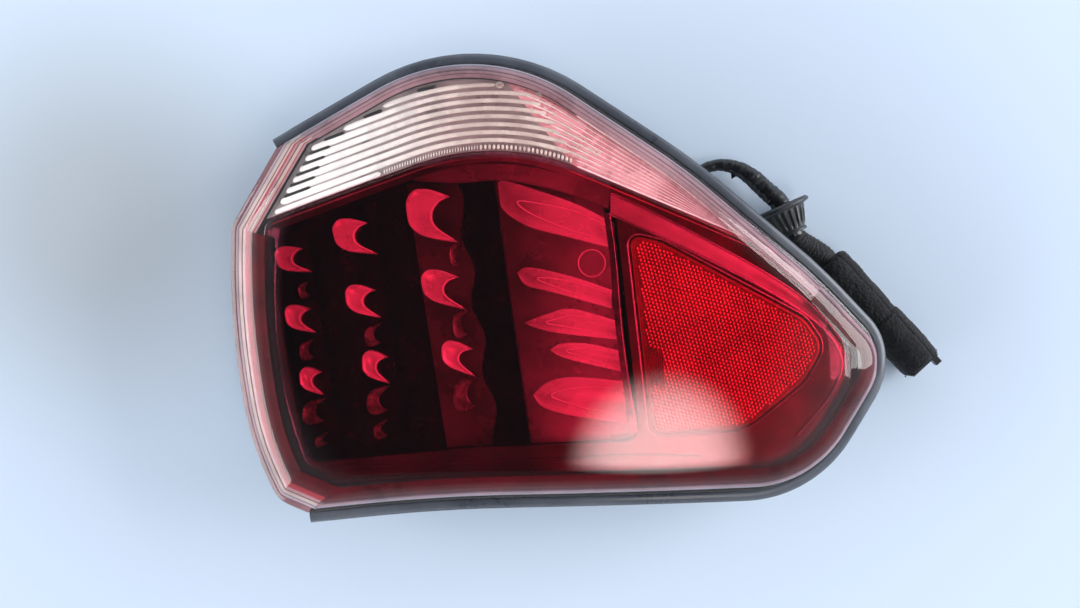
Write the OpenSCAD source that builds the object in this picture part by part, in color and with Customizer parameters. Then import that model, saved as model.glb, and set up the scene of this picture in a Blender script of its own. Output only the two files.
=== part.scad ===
// Wrap-around tail lamp cluster of a family car, lying on its back with the lens up.
// Millimetres. X runs along the lamp, Y towards its upper edge and Z out through the lens.
// The origin is below the middle of the lamp, on the surface that its three studs stand on.

/* [Rim] */
// Height of the highest point of the rim above the stud tips
rim_height = 62; // [58:0.5:70]
// Radius of the slightly domed face that the lens is bonded to
rim_radius = 1000; // [900:10:1400]
// How far the flange stands out beyond the lens, on the edges that show it
flange_reach = 6.5; // [4:0.5:9]
// Thickness of the flange
flange_thick = 4; // [3:0.5:6]
// Distance from the lens edge to the outside of the side wall
wall_inset = 1.5; // [1:0.25:2.5]
// Thickness of the side wall
side_wall = 3.5; // [3:0.25:4.5]

/* [Outer lens] */
// Height of the lens crown above the rim
lens_rise = 44; // [40:0.5:50]
// Radius of the domed lens face
dome_radius = 750; // [700:10:1000]
// Wall of the lens
lens_wall = 2.8; // [2.2:0.1:3.2]
// Width of the rounded shoulder between the lens edge and its face
shoulder = 15; // [13:0.5:17]
// How many times wider the shoulder is on the side that wraps around the car
side_lean = 1.75; // [1.5:0.05:1.9]
// Width of the foot that is bonded to the rim
foot_width = 6.2; // [5.6:0.1:7]
// Width of the seal bead under the foot
seal_width = 2; // [1.5:0.1:2.5]
// Depth of the groove that holds the seal bead
seal_depth = 1.5; // [1:0.1:2.5]

/* [Inner lenses and bezel] */
// Distance from the outer lens face down to the faces of the inner lenses
cover_drop = 4.8; // [4.6:0.1:5.2]
// Wall of the red lens and of the ribbed optic
cover_wall = 2.5; // [2:0.25:3]
// Distance from the outer lens face down to the bezel
bezel_drop = 9; // [8.5:0.25:10]
// Wall of the bezel plate and of its skirt
bezel_wall = 2.4; // [2:0.1:3]
// Distance from the red lens edge down to the opening over the light emitters
bar_low = 6; // [5:0.5:7]
// Distance from the red lens edge up to the opening over the bulbs
bar_high = 4; // [3.5:0.5:5]
// Spacing of the ribs that follow the upper edge of the red lens
rib_pitch = 4.5; // [4:0.25:6]
// Width of one rib
rib_width = 3.6; // [3:0.1:3.9]
// Height of one rib
rib_height = 1.2; // [0.8:0.1:1.6]
// Number of ribs
rib_count = 10; // [6:1:12]

/* [Reflectors] */
// Wall of the reflectors
reflector_wall = 1.6; // [1.2:0.1:2]
// Width of the lip that holds each reflector under the bezel
reflector_lip = 2.5; // [1.5:0.25:2.75]
// Distance from the outer lens face down to the face of the first column
column_drop = 20.6; // [20:0.1:21.5]
// How much higher each column stands than the one before it
column_step = 0.8; // [0:0.1:1]
// Distance from the outer lens face down to the tops of the bright scoops
scoop_drop = 14.8; // [13.5:0.1:16]
// Distance from the outer lens face down to the tops of the dim scoops
dim_scoop_drop = 16.8; // [15.5:0.1:17.5]
// Distance from the outer lens face down to the rims of the long scoops
long_scoop_drop = 13.4; // [12.5:0.1:15]
// Depth of the dish inside a long scoop
scoop_dish = 2.5; // [1:0.25:3]
// Width of the rim around that dish
scoop_rim = 1.6; // [1.2:0.1:2]
// Gap between the circuit boards and the lowest corner of the reflector, which clears their screws
pocket_gap = 2.4; // [2.2:0.1:3]
// Radius of the neck that leads from a board up to its column
neck_radius = 4.6; // [4:0.1:5.5]
// Depth of the tray behind the ribbed optic
tray_depth = 12; // [8:0.5:16]
// Thickness of the reflex reflector where it fills its opening
reflex_thick = 4; // [3:0.25:4.5]

/* [Light emitters] */
// Distance from the highest point of the rim down to the tops of the circuit boards
board_drop = 2; // [0:0.5:8]
// Thickness of a circuit board
board_wall = 1.6; // [1:0.1:2]
// Width of a circuit board
board_width = 15; // [13:0.5:18]
// Distance from the last emitter to the end of its board
board_end = 20; // [18:0.5:22]
// Radius of one emitter
emitter_radius = 2.4; // [1.8:0.1:2.8]
// Height of one emitter
emitter_height = 2.6; // [1.6:0.1:4]
// Radius of the thread of a small screw
screw_radius = 1.5; // [1.25:0.05:1.75]
// Radius of the head of a small screw
screw_head = 2.8; // [2.5:0.1:3.2]

/* [Housing back] */
// Thickness of the housing floor
floor_wall = 3; // [2.5:0.25:4]
// Height of the bosses that carry the studs
boss_height = 10; // [6:0.5:12]
// Radius of the bosses that carry the studs
boss_radius = 11; // [10:0.5:13]
// Radius of the stud thread
stud_radius = 3; // [2.5:0.5:4]
// Length of stud that stands out of its boss
stud_length = 20; // [18:0.5:28]
// Thickness of the foam ring on a stud
gasket_wall = 4; // [2:0.5:6]
// Radius of the holes for the bulb holders
turret_bore = 14; // [13:0.25:15]
// Wall of the turrets around those holes
turret_wall = 3; // [2.5:0.25:4]
// Height of the turrets
turret_height = 8; // [5:0.5:9]
// Thickness of the rubber ring of a bulb holder
holder_seal = 2; // [1.5:0.25:3]
// Radius of a bulb's glass
bulb_radius = 9; // [8:0.25:9.5]
// Distance from the tip of a bulb up to the ribs of the optic
bulb_gap = 4.8; // [3:0.2:8]

/* [Harness] */
// Radius of the flange of the rubber grommet
grommet_radius = 17.5; // [16:0.25:17.5]
// Length of the grommet's cone
grommet_length = 17; // [14:0.5:18]
// Radius of the hole through the grommet
grommet_bore = 6.8; // [6.6:0.1:7.4]
// Radius of the padded wrap around the connector
wrap_radius = 13; // [12.8:0.1:13.2]
// Length of the padded wrap
wrap_length = 86; // [76:1:92]
// Width of the connector
plug_width = 20; // [18:0.5:21]
// Height of the connector
plug_height = 15; // [13:0.5:16]
// Wall of the connector
plug_wall = 1.8; // [1.4:0.1:2.2]
// Depth of the connector's mouth
plug_depth = 17; // [15:0.5:22]

/* [Hidden] */

// Outlines are lists of corners [x, y, radius], clockwise, and their round stretches are arcs.
lens_corners = [
    [-169, 83, 2], [-48, 151.6, 111], [73, 72, 353], [151, 8, 357], [189, -30, 28],
    [189.5, -53, 38], [149, -119, 70], [-71, -123.5, 885], [-150.5, -133.3, 2],
    [-168.5, -126, 18], [-185, -90.5, 180], [-196.5, -16, 478], [-195.5, 37.5, 15],
];
// The edges of the lens that wrap around the car have no flange and a wider shoulder.
wraps_around = [0, 0, 0, 0, 0, 0, 0, 0, 1, 1, 1, 1, 1];
red_corners = [
    [-168, 37.5, 8], [-35, 84.4, 128], [111.5, 24, 60], [165, -23, 28], [167, -64, 35],
    [134, -106, 40], [-74, -106, 900], [-137, -112, 5], [-153, -104, 12],
    [-168.5, -52, 180], [-171, -1, 300],
];
// The upper edge of the red lens, carried on far below it, for the ribs that run beside it.
contour_corners = [
    [-261, 4.7, 5], [-35, 84.4, 128], [111.5, 24, 60], [222, -73, 5], [222, -260, 5], [-261, -260, 5],
];
led_corners = [
    [-167, 30.5, 6], [-35, 84.4 - 1.07 * bar_low, 122], [29, 51.3, 8], [44, -86, 8],
    [-46, -89, 300], [-145, -99, 8],
];
reflex_corners = [
    [37, 30, 5], [55, 26, 30], [138, -17, 20], [150, -33, 12], [138, -53, 25], [104, -80, 30], [50, -83, 8],
];
// Ends of the three columns of round scoops, and the middles of the long scoops.
scoop_columns = [[[-154, 17], [-138, -86]], [[-116, 30], [-102, -80]], [[-71, 43], [-53, -74]]];
scoop_rows = 4;
// How far each column reaches left and right of the line through its scoops.
column_reach = [[8.2, 11], [11, 12], [14, 12.4], [31, 27]];
// The third column bulges beside each of its emitters.
scallop_radius = 13;
// Claw-shaped scoops of each column: middle, half width, half height and slant.
bright_claws = [
    [[-152.7, 16.7, 10.8, 7.2, 0], [-147.9, -16.9, 9.4, 6.9, -8], [-141.5, -52.2, 7.6, 6.4, -14]],
    [[-116.3, 29.6, 13, 9.4, -4], [-111.3, -6.8, 10.9, 8, -10], [-104, -43.8, 8.9, 7.5, -16]],
    [[-72, 41.5, 15.8, 13.6, -8], [-65.4, 0, 13.9, 9.2, -12], [-57, -38.7, 11.1, 7.6, -18]],
];
dim_claws = [
    [[-140.4, -70.7, 7.7, 6.8, 10]],
    [[-102.9, -63.9, 7.7, 7.2, 12]],
    [[-56.4, -20.8, 4.8, 7, 10], [-53, -60, 8.2, 8.9, 8]],
];
long_scoops = [[-3, 40], [2, 3], [5, -18], [8, -39], [11, -60]];
// Leaf-shaped scoops: the tip, the widest place with its radius, and the end with its radius.
leaves = [
    [[-34, 52], [-17, 46, 10], [31, 28.5, 7]], [[-24.5, 8.2], [-12, 4.6, 6], [34.5, -8, 5.2]],
    [[-20.5, -19.3], [-5, -19, 5], [36.5, -24.5, 5.4]], [[-6.3, -34.6], [4, -35.6, 4.4], [38.5, -42, 6]],
    [[-15.5, -60], [0, -60.5, 9], [41.5, -64.5, 12]],
];
turn_spot = [-95, 88];
reverse_spot = [-15, 96];
stud_spots = [[-55, 106], [-104, -84], [122, -34]];
vent_spots = [[-132, 8], [88, -70]];
connector_spot = [-92, -30];
jumper_spot = [-106, -34];
vent_radius = 8;
// Where the clear strip's tapering end is cut off.
strip_end = 92;

// Heights that follow from the sizes above.
floor_z = stud_length + boss_height;
tub_z = floor_z + floor_wall;
board_height = rim_height - board_drop;
rim_crown = [-13, 0];
dome_crown = [-23, 0];
dome_height = rim_height + lens_rise;
foot_lift = 0.15;
seal_inset = wall_inset + 0.75;
insert_radius = stud_radius + 1.5;
deep = 200;
play = 0.3;
gasket_play = 1.5;

// The shoulder's section: share of its width, and share of the height from rim to face.
shoulder_section = [[0.2, 0.09], [0.287, 0.5], [0.387, 0.76], [0.533, 0.9], [0.733, 0.97], [1, 1]];
foot_share = 0.07;
face_rings = [0.8, 0.6, 0.4, 0.2];

function rim_at(p) = rim_height - rim_radius
    + sqrt(rim_radius ^ 2 - (p.x - rim_crown.x) ^ 2 - (p.y - rim_crown.y) ^ 2);
function dome_at(p) = dome_height - dome_radius
    + sqrt(dome_radius ^ 2 - (p.x - dome_crown.x) ^ 2 - (p.y - dome_crown.y) ^ 2);
function mix(a, b, share) = a + (b - a) * share;
function unit(v) = v / norm(v);
function flat(p) = [p.x, p.y];
function turned(d) = [-d.y, d.x];
function heading(corners, i) =
    let (n = len(corners))
    unit(flat(corners[(i + 1) % n]) - flat(corners[(i + n) % n]));
function bend(a, b) = atan2(a.x * b.y - a.y * b.x, a * b);

// Every edge of an outline moved outwards by its own distance, with the arcs kept concentric.
function moved(corners, out) =
    let (n = len(corners))
    [for (i = [0 : n - 1])
        let (
            before = turned(heading(corners, i - 1)),
            after = turned(heading(corners, i)),
            a = out[(i + n - 1) % n],
            b = out[i],
            area = before.x * after.y - before.y * after.x,
            shift = [a * after.y - b * before.y, b * before.x - a * after.x] / area,
            grown = corners[i][2] - sign(area) * (a + b) / 2
        )
        [corners[i].x + shift.x, corners[i].y + shift.y, max(grown, 0.5)]];
function grown(corners, out) = moved(corners, [for (c = corners) out]);

function arc_steps(corners) =
    [for (i = [0 : len(corners) - 1])
        let (angle = abs(bend(heading(corners, i - 1), heading(corners, i))))
        max(2, ceil(angle * sqrt(corners[i][2]) / 60))];

function arc(corners, i, steps) =
    let (
        start = heading(corners, i - 1),
        angle = bend(start, heading(corners, i)),
        radius = corners[i][2],
        side = sign(angle) * turned(start),
        tangent = flat(corners[i]) - start * radius * tan(abs(angle) / 2),
        centre = tangent + side * radius
    )
    [for (k = [0 : steps])
        let (a = angle * k / steps)
        centre - [side.x * cos(a) - side.y * sin(a), side.x * sin(a) + side.y * cos(a)] * radius];

// A closed outline with its arcs, and with long straight edges split where splits asks for it.
function outline(corners, steps, splits) =
    let (n = len(corners), arcs = [for (i = [0 : n - 1]) arc(corners, i, steps[i])])
    [for (i = [0 : n - 1])
        let (last = arcs[i][steps[i]], next = arcs[(i + 1) % n][0])
        each concat(arcs[i], [for (k = [1 : 1 : splits[i]]) mix(last, next, k / (splits[i] + 1))])];

function no_splits(corners) = [for (c = corners) 0];
function lens_edge(width, extra) =
    moved(lens_corners, [for (w = wraps_around) -width * (w == 1 ? side_lean : 1) - extra]);

lens_steps = arc_steps(lens_corners);
lens_splits = [2, 2, 2, 1, 0, 1, 5, 2, 0, 1, 1, 1, 3];

// A solid between two heights with one of the outlines.
module slab(corners, low = 0, high = deep) {
    translate([0, 0, low])
        linear_extrude(high - low)
            polygon(outline(corners, arc_steps(corners), no_splits(corners)));
}

module rim_ball(drop) {
    translate([rim_crown.x, rim_crown.y, rim_height - rim_radius])
        sphere(rim_radius - drop, $fn = 240);
}

// The ball's poles lie far out along Y, so that its face over the lamp is even.
module dome_ball(drop) {
    translate([dome_crown.x, dome_crown.y, dome_height - dome_radius])
        rotate([90, 0, 0])
            sphere(dome_radius - drop, $fn = 240);
}

module dome_layer(top, bottom) {
    difference() {
        intersection() {
            children();
            dome_ball(top);
        }
        dome_ball(bottom);
    }
}

// A solid skinned over rings of equal length, closed by a point at each end.
module skin(rings, first, last) {
    n = len(rings[0]);
    count = len(rings);
    polyhedron(
        concat([for (r = rings) each r], [first, last]),
        concat(
            [for (k = [0 : count - 2], i = [0 : n - 1])
                each [[k * n + i, (k + 1) * n + (i + 1) % n, k * n + (i + 1) % n],
                      [k * n + i, (k + 1) * n + i, (k + 1) * n + (i + 1) % n]]],
            [for (i = [0 : n - 1]) [count * n, i, (i + 1) % n]],
            [for (i = [0 : n - 1]) [count * n + 1, (count - 1) * n + (i + 1) % n, (count - 1) * n + i]]
        )
    );
}

function lens_ring(width, extra, share, drop) =
    [for (p = outline(lens_edge(width, extra), lens_steps, lens_splits))
        [p.x, p.y, mix(rim_at(p) + foot_lift, dome_at(p), share) - drop]];
function face_ring(edge, scale, drop) =
    [for (p = edge)
        let (q = mix(dome_crown, flat(p), scale))
        [q.x, q.y, dome_at(q) - drop]];

module outer_lens() {
    last = len(shoulder_section) - 1;
    top = lens_ring(shoulder, 0, 1, 0);
    under = lens_ring(shoulder, lens_wall, 1, lens_wall);
    rings = concat(
        [for (i = [len(face_rings) - 1 : -1 : 0]) face_ring(top, face_rings[i], 0)],
        [for (i = [last : -1 : 0])
            lens_ring(shoulder_section[i][0] * shoulder, 0, shoulder_section[i][1], 0)],
        [lens_ring(0, 0, foot_share, 0), lens_ring(0, 0, 0, 0)],
        [lens_ring(shoulder_section[0][0] * shoulder, foot_width - shoulder_section[0][0] * shoulder, 0, 0)],
        [for (i = [1 : last])
            lens_ring(shoulder_section[i][0] * shoulder, lens_wall, shoulder_section[i][1], lens_wall)],
        [for (s = face_rings) face_ring(under, s, lens_wall)]
    );
    color([0.95, 0.93, 0.94, 0.35])
        skin(
            rings,
            [dome_crown.x, dome_crown.y, dome_height],
            [dome_crown.x, dome_crown.y, dome_height - lens_wall]
        );
}

// A thin lens that follows the dome and stands on the bezel with a low skirt.
module cover(top) {
    difference() {
        dome_layer(top, bezel_drop)
            children(0);
        intersection() {
            children(1);
            dome_ball(top + cover_wall);
        }
    }
}

module red_lens() {
    color([0.75, 0.02, 0.05, 0.6])
        cover(cover_drop) {
            slab(red_corners);
            slab(grown(red_corners, -cover_wall));
        }
}

// The opening behind the clear strip stays this share of the shoulder and this much more inside the lens.
strip_share = 0.8;
strip_inset = 4.5;
// How far the ribbed optic reaches over the edge of that opening, and how far its hollow stays inside.
optic_lap = 1.8;
optic_hollow = 0.6;

// The area above the red lens, behind the clear strip, made larger by grow.
module strip_slab(grow) {
    difference() {
        slab(lens_edge(strip_share * shoulder, strip_inset - grow));
        slab(grown(contour_corners, bar_high - grow), -1, deep + 1);
        translate([strip_end + grow, -deep, -1])
            cube([deep, 2 * deep, deep + 2]);
    }
}

// How deep the ribs are rooted in the optic.
rib_root = 0.3;

// Ribs that run beside the upper edge of the red lens, between two depths below the dome.
module contour_ribs(top, bottom) {
    for (k = [0 : rib_count - 1]) {
        start = bar_high + 1 + k * rib_pitch;
        dome_layer(top, bottom)
            difference() {
                slab(grown(contour_corners, start + rib_width));
                slab(grown(contour_corners, start), -1, deep + 1);
            }
    }
}

module ribbed_optic() {
    color([0.97, 0.95, 0.93, 0.5]) {
        cover(cover_drop + rib_height) {
            strip_slab(optic_lap);
            strip_slab(-optic_hollow);
        }
        intersection() {
            contour_ribs(cover_drop, cover_drop + rib_height + rib_root);
            strip_slab(optic_lap - 1);
        }
    }
}

// A bead that follows the lens edge, in the groove around the top of the side wall.
module seal_band(top, bottom) {
    difference() {
        intersection() {
            slab(lens_edge(0, seal_inset), floor_z, deep);
            rim_ball(top);
        }
        rim_ball(bottom);
        slab(lens_edge(0, seal_inset + seal_width), floor_z - 1, deep + 1);
    }
}

module lens_seal() {
    color("#1b1b1c")
        seal_band(-foot_lift / 2, seal_depth);
}

flange_edges = [for (w = wraps_around) w == 1 ? 0 : flange_reach];
skirt_inset = 0.533 * shoulder;
skirt_gap = lens_wall + 0.5;
// Four places inside the bezel's skirt, counted along the lens outline, for its screw posts.
post_places = [6, 26, 47, 68];
post_radius = 3.8;
post_line = outline(
    lens_edge(skirt_inset, skirt_gap + bezel_wall + post_radius - 1), lens_steps, lens_splits
);
post_spots = [for (i = post_places) post_line[i]];
post_height = 14;

module holes(spots, radius, low, high) {
    for (s = spots)
        translate([s.x, s.y, low])
            cylinder(high - low, radius, radius, $fn = 48);
}

// Both screw places of each circuit board.
board_ends = [for (i = [0 : 3]) each [board_point(i, -1), board_point(i, 1)]];
function board_line(i) = i < 3 ? scoop_columns[i] : [long_scoops[0], long_scoops[len(long_scoops) - 1]];
function board_along(i) = unit(board_line(i)[1] - board_line(i)[0]);
function board_point(i, end) =
    board_line(i)[end < 0 ? 0 : 1] + end * (board_end - 4) * board_along(i);
// The emitters of a column stand a little to the right of its board's middle line, in the claws' openings.
emitter_shift = 3.5;
function emitter_spots(i) = i == 3 ? long_scoops
    : [for (k = [0 : scoop_rows - 1])
        mix(scoop_columns[i][0], scoop_columns[i][1], k / (scoop_rows - 1))
            + emitter_shift * turned(board_along(i))];

module stud_boss(spot) {
    translate([spot.x, spot.y, stud_length]) {
        cylinder(boss_height + 1, boss_radius, boss_radius, $fn = 64);
        for (a = [0 : 60 : 300])
            rotate([0, 0, a])
                translate([0, -1, boss_height / 2])
                    cube([boss_radius + 8, 2, boss_height / 2 + 1]);
    }
}

module housing() {
    color("#2b2e33")
        difference() {
            union() {
                difference() {
                    intersection() {
                        union() {
                            slab(lens_edge(0, wall_inset), floor_z, deep);
                            difference() {
                                slab(moved(lens_corners, flange_edges), floor_z, deep);
                                rim_ball(flange_thick);
                            }
                        }
                        rim_ball(0);
                    }
                    slab(lens_edge(0, wall_inset + side_wall), tub_z, deep + 1);
                }
                for (s = stud_spots)
                    stud_boss(s);
                holes([turn_spot, reverse_spot], turret_bore + turret_wall, floor_z - turret_height, tub_z);
                holes(board_ends, screw_radius + 2, tub_z - 1, board_height - board_wall);
                holes(vent_spots, vent_radius, floor_z - 3, tub_z);
                back_ribs();
            }
            seal_band(-1, seal_depth);
            holes([turn_spot, reverse_spot], turret_bore, 0, deep);
            holes(stud_spots, insert_radius + 0.05, 0, floor_z - 1);
            holes(stud_spots, insert_radius + 2, floor_z - 5, floor_z - 1);
            holes(board_ends, screw_radius + 0.1, board_height - board_wall - screw_grip - 2, board_height);
            holes(post_spots, screw_radius + 0.1, 0, deep);
            holes(vent_spots, 2.5, 0, deep);
            connector_block(0.15, floor_z - 1, tub_z + 1);
        }
}

// Stiffening ribs on the back, clear of the leads.
module back_ribs() {
    for (y = [-100, -58])
        translate([-60, y, floor_z - 5])
            cube([120, 2.4, 6]);
    for (x = [-60, -2, 57.6])
        translate([x, -100, floor_z - 5])
            cube([2.4, 44.4, 6]);
}

module connector_block(extra, low, high) {
    translate([connector_spot.x - 15 - extra, connector_spot.y - 8 - extra, low])
        cube([30 + 2 * extra, 16 + 2 * extra, high - low]);
}

module inner_bezel() {
    outer = lens_edge(skirt_inset, skirt_gap);
    color("#141012")
        difference() {
            union() {
                difference() {
                    intersection() {
                        slab(outer, tub_z);
                        dome_ball(bezel_drop);
                    }
                    intersection() {
                        slab(lens_edge(skirt_inset, skirt_gap + bezel_wall), tub_z - 1);
                        dome_ball(bezel_drop + bezel_wall);
                    }
                }
                holes(post_spots, post_radius, tub_z, tub_z + post_height);
            }
            slab(led_corners);
            slab(reflex_corners);
            strip_slab(0);
            holes(post_spots, screw_radius + 0.1, tub_z - 1, tub_z + post_height - 2);
        }
}

lip_drop = bezel_drop + bezel_wall;
plate_drop = lip_drop + reflector_wall;

// The boards lie under the floor of the pocket, which clears them at its lowest corner.
pocket_drop = dome_at(led_corners[5]) - board_height - reflector_wall - pocket_gap;
function face_drop(i) = column_drop - i * column_step;

// A column's area between the walls of the pocket, made smaller by inset on every side.
module column(i, inset, drop) {
    line = board_line(i);
    intersection() {
        slab(grown(led_corners, -inset));
        union() {
            translate([line[0].x, line[0].y, 0])
                rotate([0, 0, atan2(board_along(i).y, board_along(i).x)])
                    translate([-deep / 2, inset - column_reach[i][0], 0])
                        cube([1.5 * deep, column_reach[i][0] + column_reach[i][1] - 2 * inset, deep]);
            if (i == 2)
                holes(emitter_spots(i), scallop_radius - inset, 0, deep);
        }
        dome_ball(drop);
    }
}

// A claw in units of its half width and height: round an ellipse from the horn to the tip, and back
// along the opening.
claw_unit = concat(
    [for (a = [57 : 18 : 273]) [0.9 * cos(a) - 0.1, sin(a)]],
    [[1, -1]],
    [for (a = [255 : -18 : 129]) [0.75 * cos(a) + 0.75, 0.85 * sin(a) + 0.1]]
);
function claw_line(p, tip) =
    [for (q = claw_unit)
        let (u = q.x * p[2], v = q.y * p[3] * tip)
        [p.x + u * cos(p[4]) - v * sin(p[4]), p.y + u * sin(p[4]) + v * cos(p[4])]];

// Claws stand in the faces of their columns; dim ones have the tip above the opening.
module claws(places, top, tip) {
    for (i = [0 : 2])
        dome_layer(top, face_drop(i) + reflector_wall / 2)
            for (p = places[i])
                linear_extrude(deep)
                    polygon(claw_line(p, tip));
}

// A leaf's corners, clockwise from its tip, for the tip, the widest place and the end.
function leaf_corners(leaf) =
    let (
        side = turned(unit(flat(leaf[2]) - flat(leaf[1]))),
        wide = flat(leaf[1]),
        end = flat(leaf[2]),
        a = leaf[1][2],
        b = leaf[2][2]
    )
    [[leaf[0].x, leaf[0].y, 0.5],
     [(wide + a * side).x, (wide + a * side).y, 12],
     [(end + b * side).x, (end + b * side).y, 0.5],
     [(end - b * side).x, (end - b * side).y, 0.5],
     [(wide - a * side).x, (wide - a * side).y, 12]];

// Long scoops: leaves with a raised rim and a dished face, which run up to the wall of the pocket.
module long_leaves() {
    difference() {
        dome_layer(long_scoop_drop, face_drop(3) + reflector_wall / 2)
            for (leaf = leaves)
                slab(leaf_corners(leaf));
        difference() {
            for (leaf = leaves)
                slab(grown(leaf_corners(leaf), -scoop_rim));
            dome_ball(long_scoop_drop + scoop_dish);
        }
    }
}

// The pocket's walls and floor with the four hollow columns in it, and the lip under the bezel.
module pocket_form() {
    difference() {
        union() {
            difference() {
                union() {
                    dome_layer(lip_drop, plate_drop)
                        slab(grown(led_corners, reflector_lip));
                    dome_layer(lip_drop, pocket_drop + reflector_wall)
                        slab(grown(led_corners, reflector_wall));
                }
                difference() {
                    slab(led_corners);
                    dome_ball(pocket_drop);
                }
            }
            for (i = [0 : 3])
                difference() {
                    column(i, 0, face_drop(i));
                    dome_ball(pocket_drop + reflector_wall / 2);
                }
        }
        for (i = [0 : 3])
            column(i, reflector_wall, face_drop(i) + reflector_wall);
    }
}

module led_reflector() {
    color("#c9c9cf")
        difference() {
            union() {
                pocket_form();
                claws(bright_claws, scoop_drop, 1);
                claws(dim_claws, dim_scoop_drop, -1);
                long_leaves();
                for (i = [0 : 3], s = emitter_spots(i))
                    holes([s], neck_radius, board_height, dome_at(s) - face_drop(i) - reflector_wall / 2);
            }
            for (i = [0 : 3])
                holes(emitter_spots(i), neck_radius - reflector_wall, board_height - 1, deep);
        }
}

module strip_reflector() {
    floor_drop = lip_drop + tray_depth;
    color("#d4d4d8")
        difference() {
            union() {
                dome_layer(lip_drop, plate_drop)
                    strip_slab(reflector_lip);
                dome_layer(lip_drop, floor_drop + reflector_wall)
                    strip_slab(-0.1);
            }
            difference() {
                strip_slab(-reflector_wall);
                dome_ball(floor_drop);
            }
            holes([turn_spot, reverse_spot], bulb_radius + 2, 0, deep);
        }
}

module reflex_reflector() {
    color("#a80c1c") {
        dome_layer(lip_drop - reflex_thick, lip_drop)
            slab(grown(reflex_corners, -play));
        dome_layer(lip_drop, plate_drop)
            slab(grown(reflex_corners, reflector_lip - 1));
    }
}

module led_board(i) {
    line = board_line(i);
    middle = (line[0] + line[1]) / 2;
    long = norm(line[1] - line[0]) + 2 * board_end;
    color("#1f5b3a")
        difference() {
            translate([middle.x, middle.y, board_height - board_wall])
                rotate([0, 0, atan2(board_along(i).y, board_along(i).x)])
                    translate([-long / 2, -board_width / 2, 0])
                        cube([long, board_width, board_wall]);
            holes([board_point(i, -1), board_point(i, 1)], screw_radius + 0.1, 0, deep);
        }
}

module led_row(i) {
    color("#e8e2c8")
        holes(emitter_spots(i), emitter_radius, board_height, board_height + emitter_height);
}

// Short bridges between neighbouring boards, and the riser from the connector to the first board.
module board_jumpers() {
    color("#7a7d80") {
        for (i = [0 : 2]) {
            a = mix(board_line(i)[0], board_line(i)[1], 0.5) + [board_width / 2 - 3, 0];
            b = mix(board_line(i + 1)[0], board_line(i + 1)[1], 0.5) - [board_width / 2 - 3, 0];
            translate([a.x, a.y, board_height - board_wall - 1])
                cube([b.x - a.x, 6, 1]);
        }
        translate([jumper_spot.x, jumper_spot.y, tub_z + 1])
            cylinder(board_height - board_wall - tub_z - 1, 2, 2, $fn = 32);
    }
}

screw_grip = 7;
head_height = 2;
screw_rest = 4;

module screw(height) {
    translate([0, 0, -height])
        cylinder(height, screw_radius, screw_radius, $fn = 32);
    cylinder(head_height, screw_head, screw_head, $fn = 32);
}

module board_screws() {
    color("#9a9da1")
        for (s = board_ends)
            translate([s.x, s.y, board_height])
                screw(board_wall + screw_grip);
}

module bezel_screws() {
    color("#9a9da1")
        for (s = post_spots)
            translate([s.x, s.y, floor_z])
                mirror([0, 0, 1])
                    screw(floor_wall + post_height - screw_rest);
}

holder_reach = 10;
holder_top = floor_z + holder_reach;
holder_low = floor_z - turret_height - holder_seal;
cap_wall = 4;
base_radius = 7.5;
socket_depth = 6;
base_height = 8;
grip_length = 22;
grip_width = 14;
grip_height = 9;
// Both bulbs have one length, which clears the optic above the lower of the two places.
bulb_length = min(dome_at(turn_spot), dome_at(reverse_spot))
    - cover_drop - cover_wall - rib_height - bulb_gap - holder_top;

module holder() {
    color("#3a3d42")
        difference() {
            union() {
                translate([0, 0, holder_low])
                    cylinder(holder_top - holder_low, turret_bore - 0.3, turret_bore - 0.3, $fn = 64);
                translate([0, 0, holder_low - cap_wall])
                    cylinder(cap_wall, turret_bore + turret_wall, turret_bore + turret_wall, $fn = 64);
                translate([-grip_length / 2, -grip_width / 2, holder_low - cap_wall - grip_height])
                    cube([grip_length, grip_width, grip_height]);
            }
            translate([0, 0, holder_top - socket_depth])
                cylinder(socket_depth + 1, base_radius + 0.15, base_radius + 0.15, $fn = 64);
        }
}

module holder_ring() {
    color("#17181a")
        translate([0, 0, holder_low])
            difference() {
                cylinder(holder_seal, turret_bore + turret_wall, turret_bore + turret_wall, $fn = 64);
                translate([0, 0, -1])
                    cylinder(holder_seal + 2, turret_bore - 0.15, turret_bore - 0.15, $fn = 64);
            }
}

module bulb(tint) {
    color(tint) {
        translate([0, 0, holder_top - socket_depth])
            cylinder(socket_depth + base_height, base_radius, base_radius, $fn = 48);
        translate([0, 0, holder_top + base_height - 1])
            cylinder(bulb_length - bulb_radius - base_height + 1, bulb_radius, bulb_radius, $fn = 48);
        translate([0, 0, holder_top + bulb_length - bulb_radius])
            sphere(bulb_radius, $fn = 48);
    }
}

module at_spot(s) {
    translate([s.x, s.y, 0])
        children();
}

module stud(i) {
    color("#8d9094")
        at_spot(stud_spots[i]) {
            cylinder(stud_length + 1, stud_radius, stud_radius, $fn = 48);
            translate([0, 0, stud_length])
                cylinder(boss_height - 3, insert_radius, insert_radius, $fn = 48);
            translate([0, 0, floor_z - 4.9])
                cylinder(3.8, insert_radius + 1.9, insert_radius + 1.9, $fn = 6);
        }
}

module stud_gasket(i) {
    color("#161617")
        at_spot(stud_spots[i])
            translate([0, 0, stud_length - gasket_wall])
                difference() {
                    cylinder(gasket_wall, boss_radius - 1, boss_radius - 1, $fn = 48);
                    translate([0, 0, -1])
                        cylinder(gasket_wall + 2, stud_radius + gasket_play, stud_radius + gasket_play, $fn = 48);
                }
}

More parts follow.
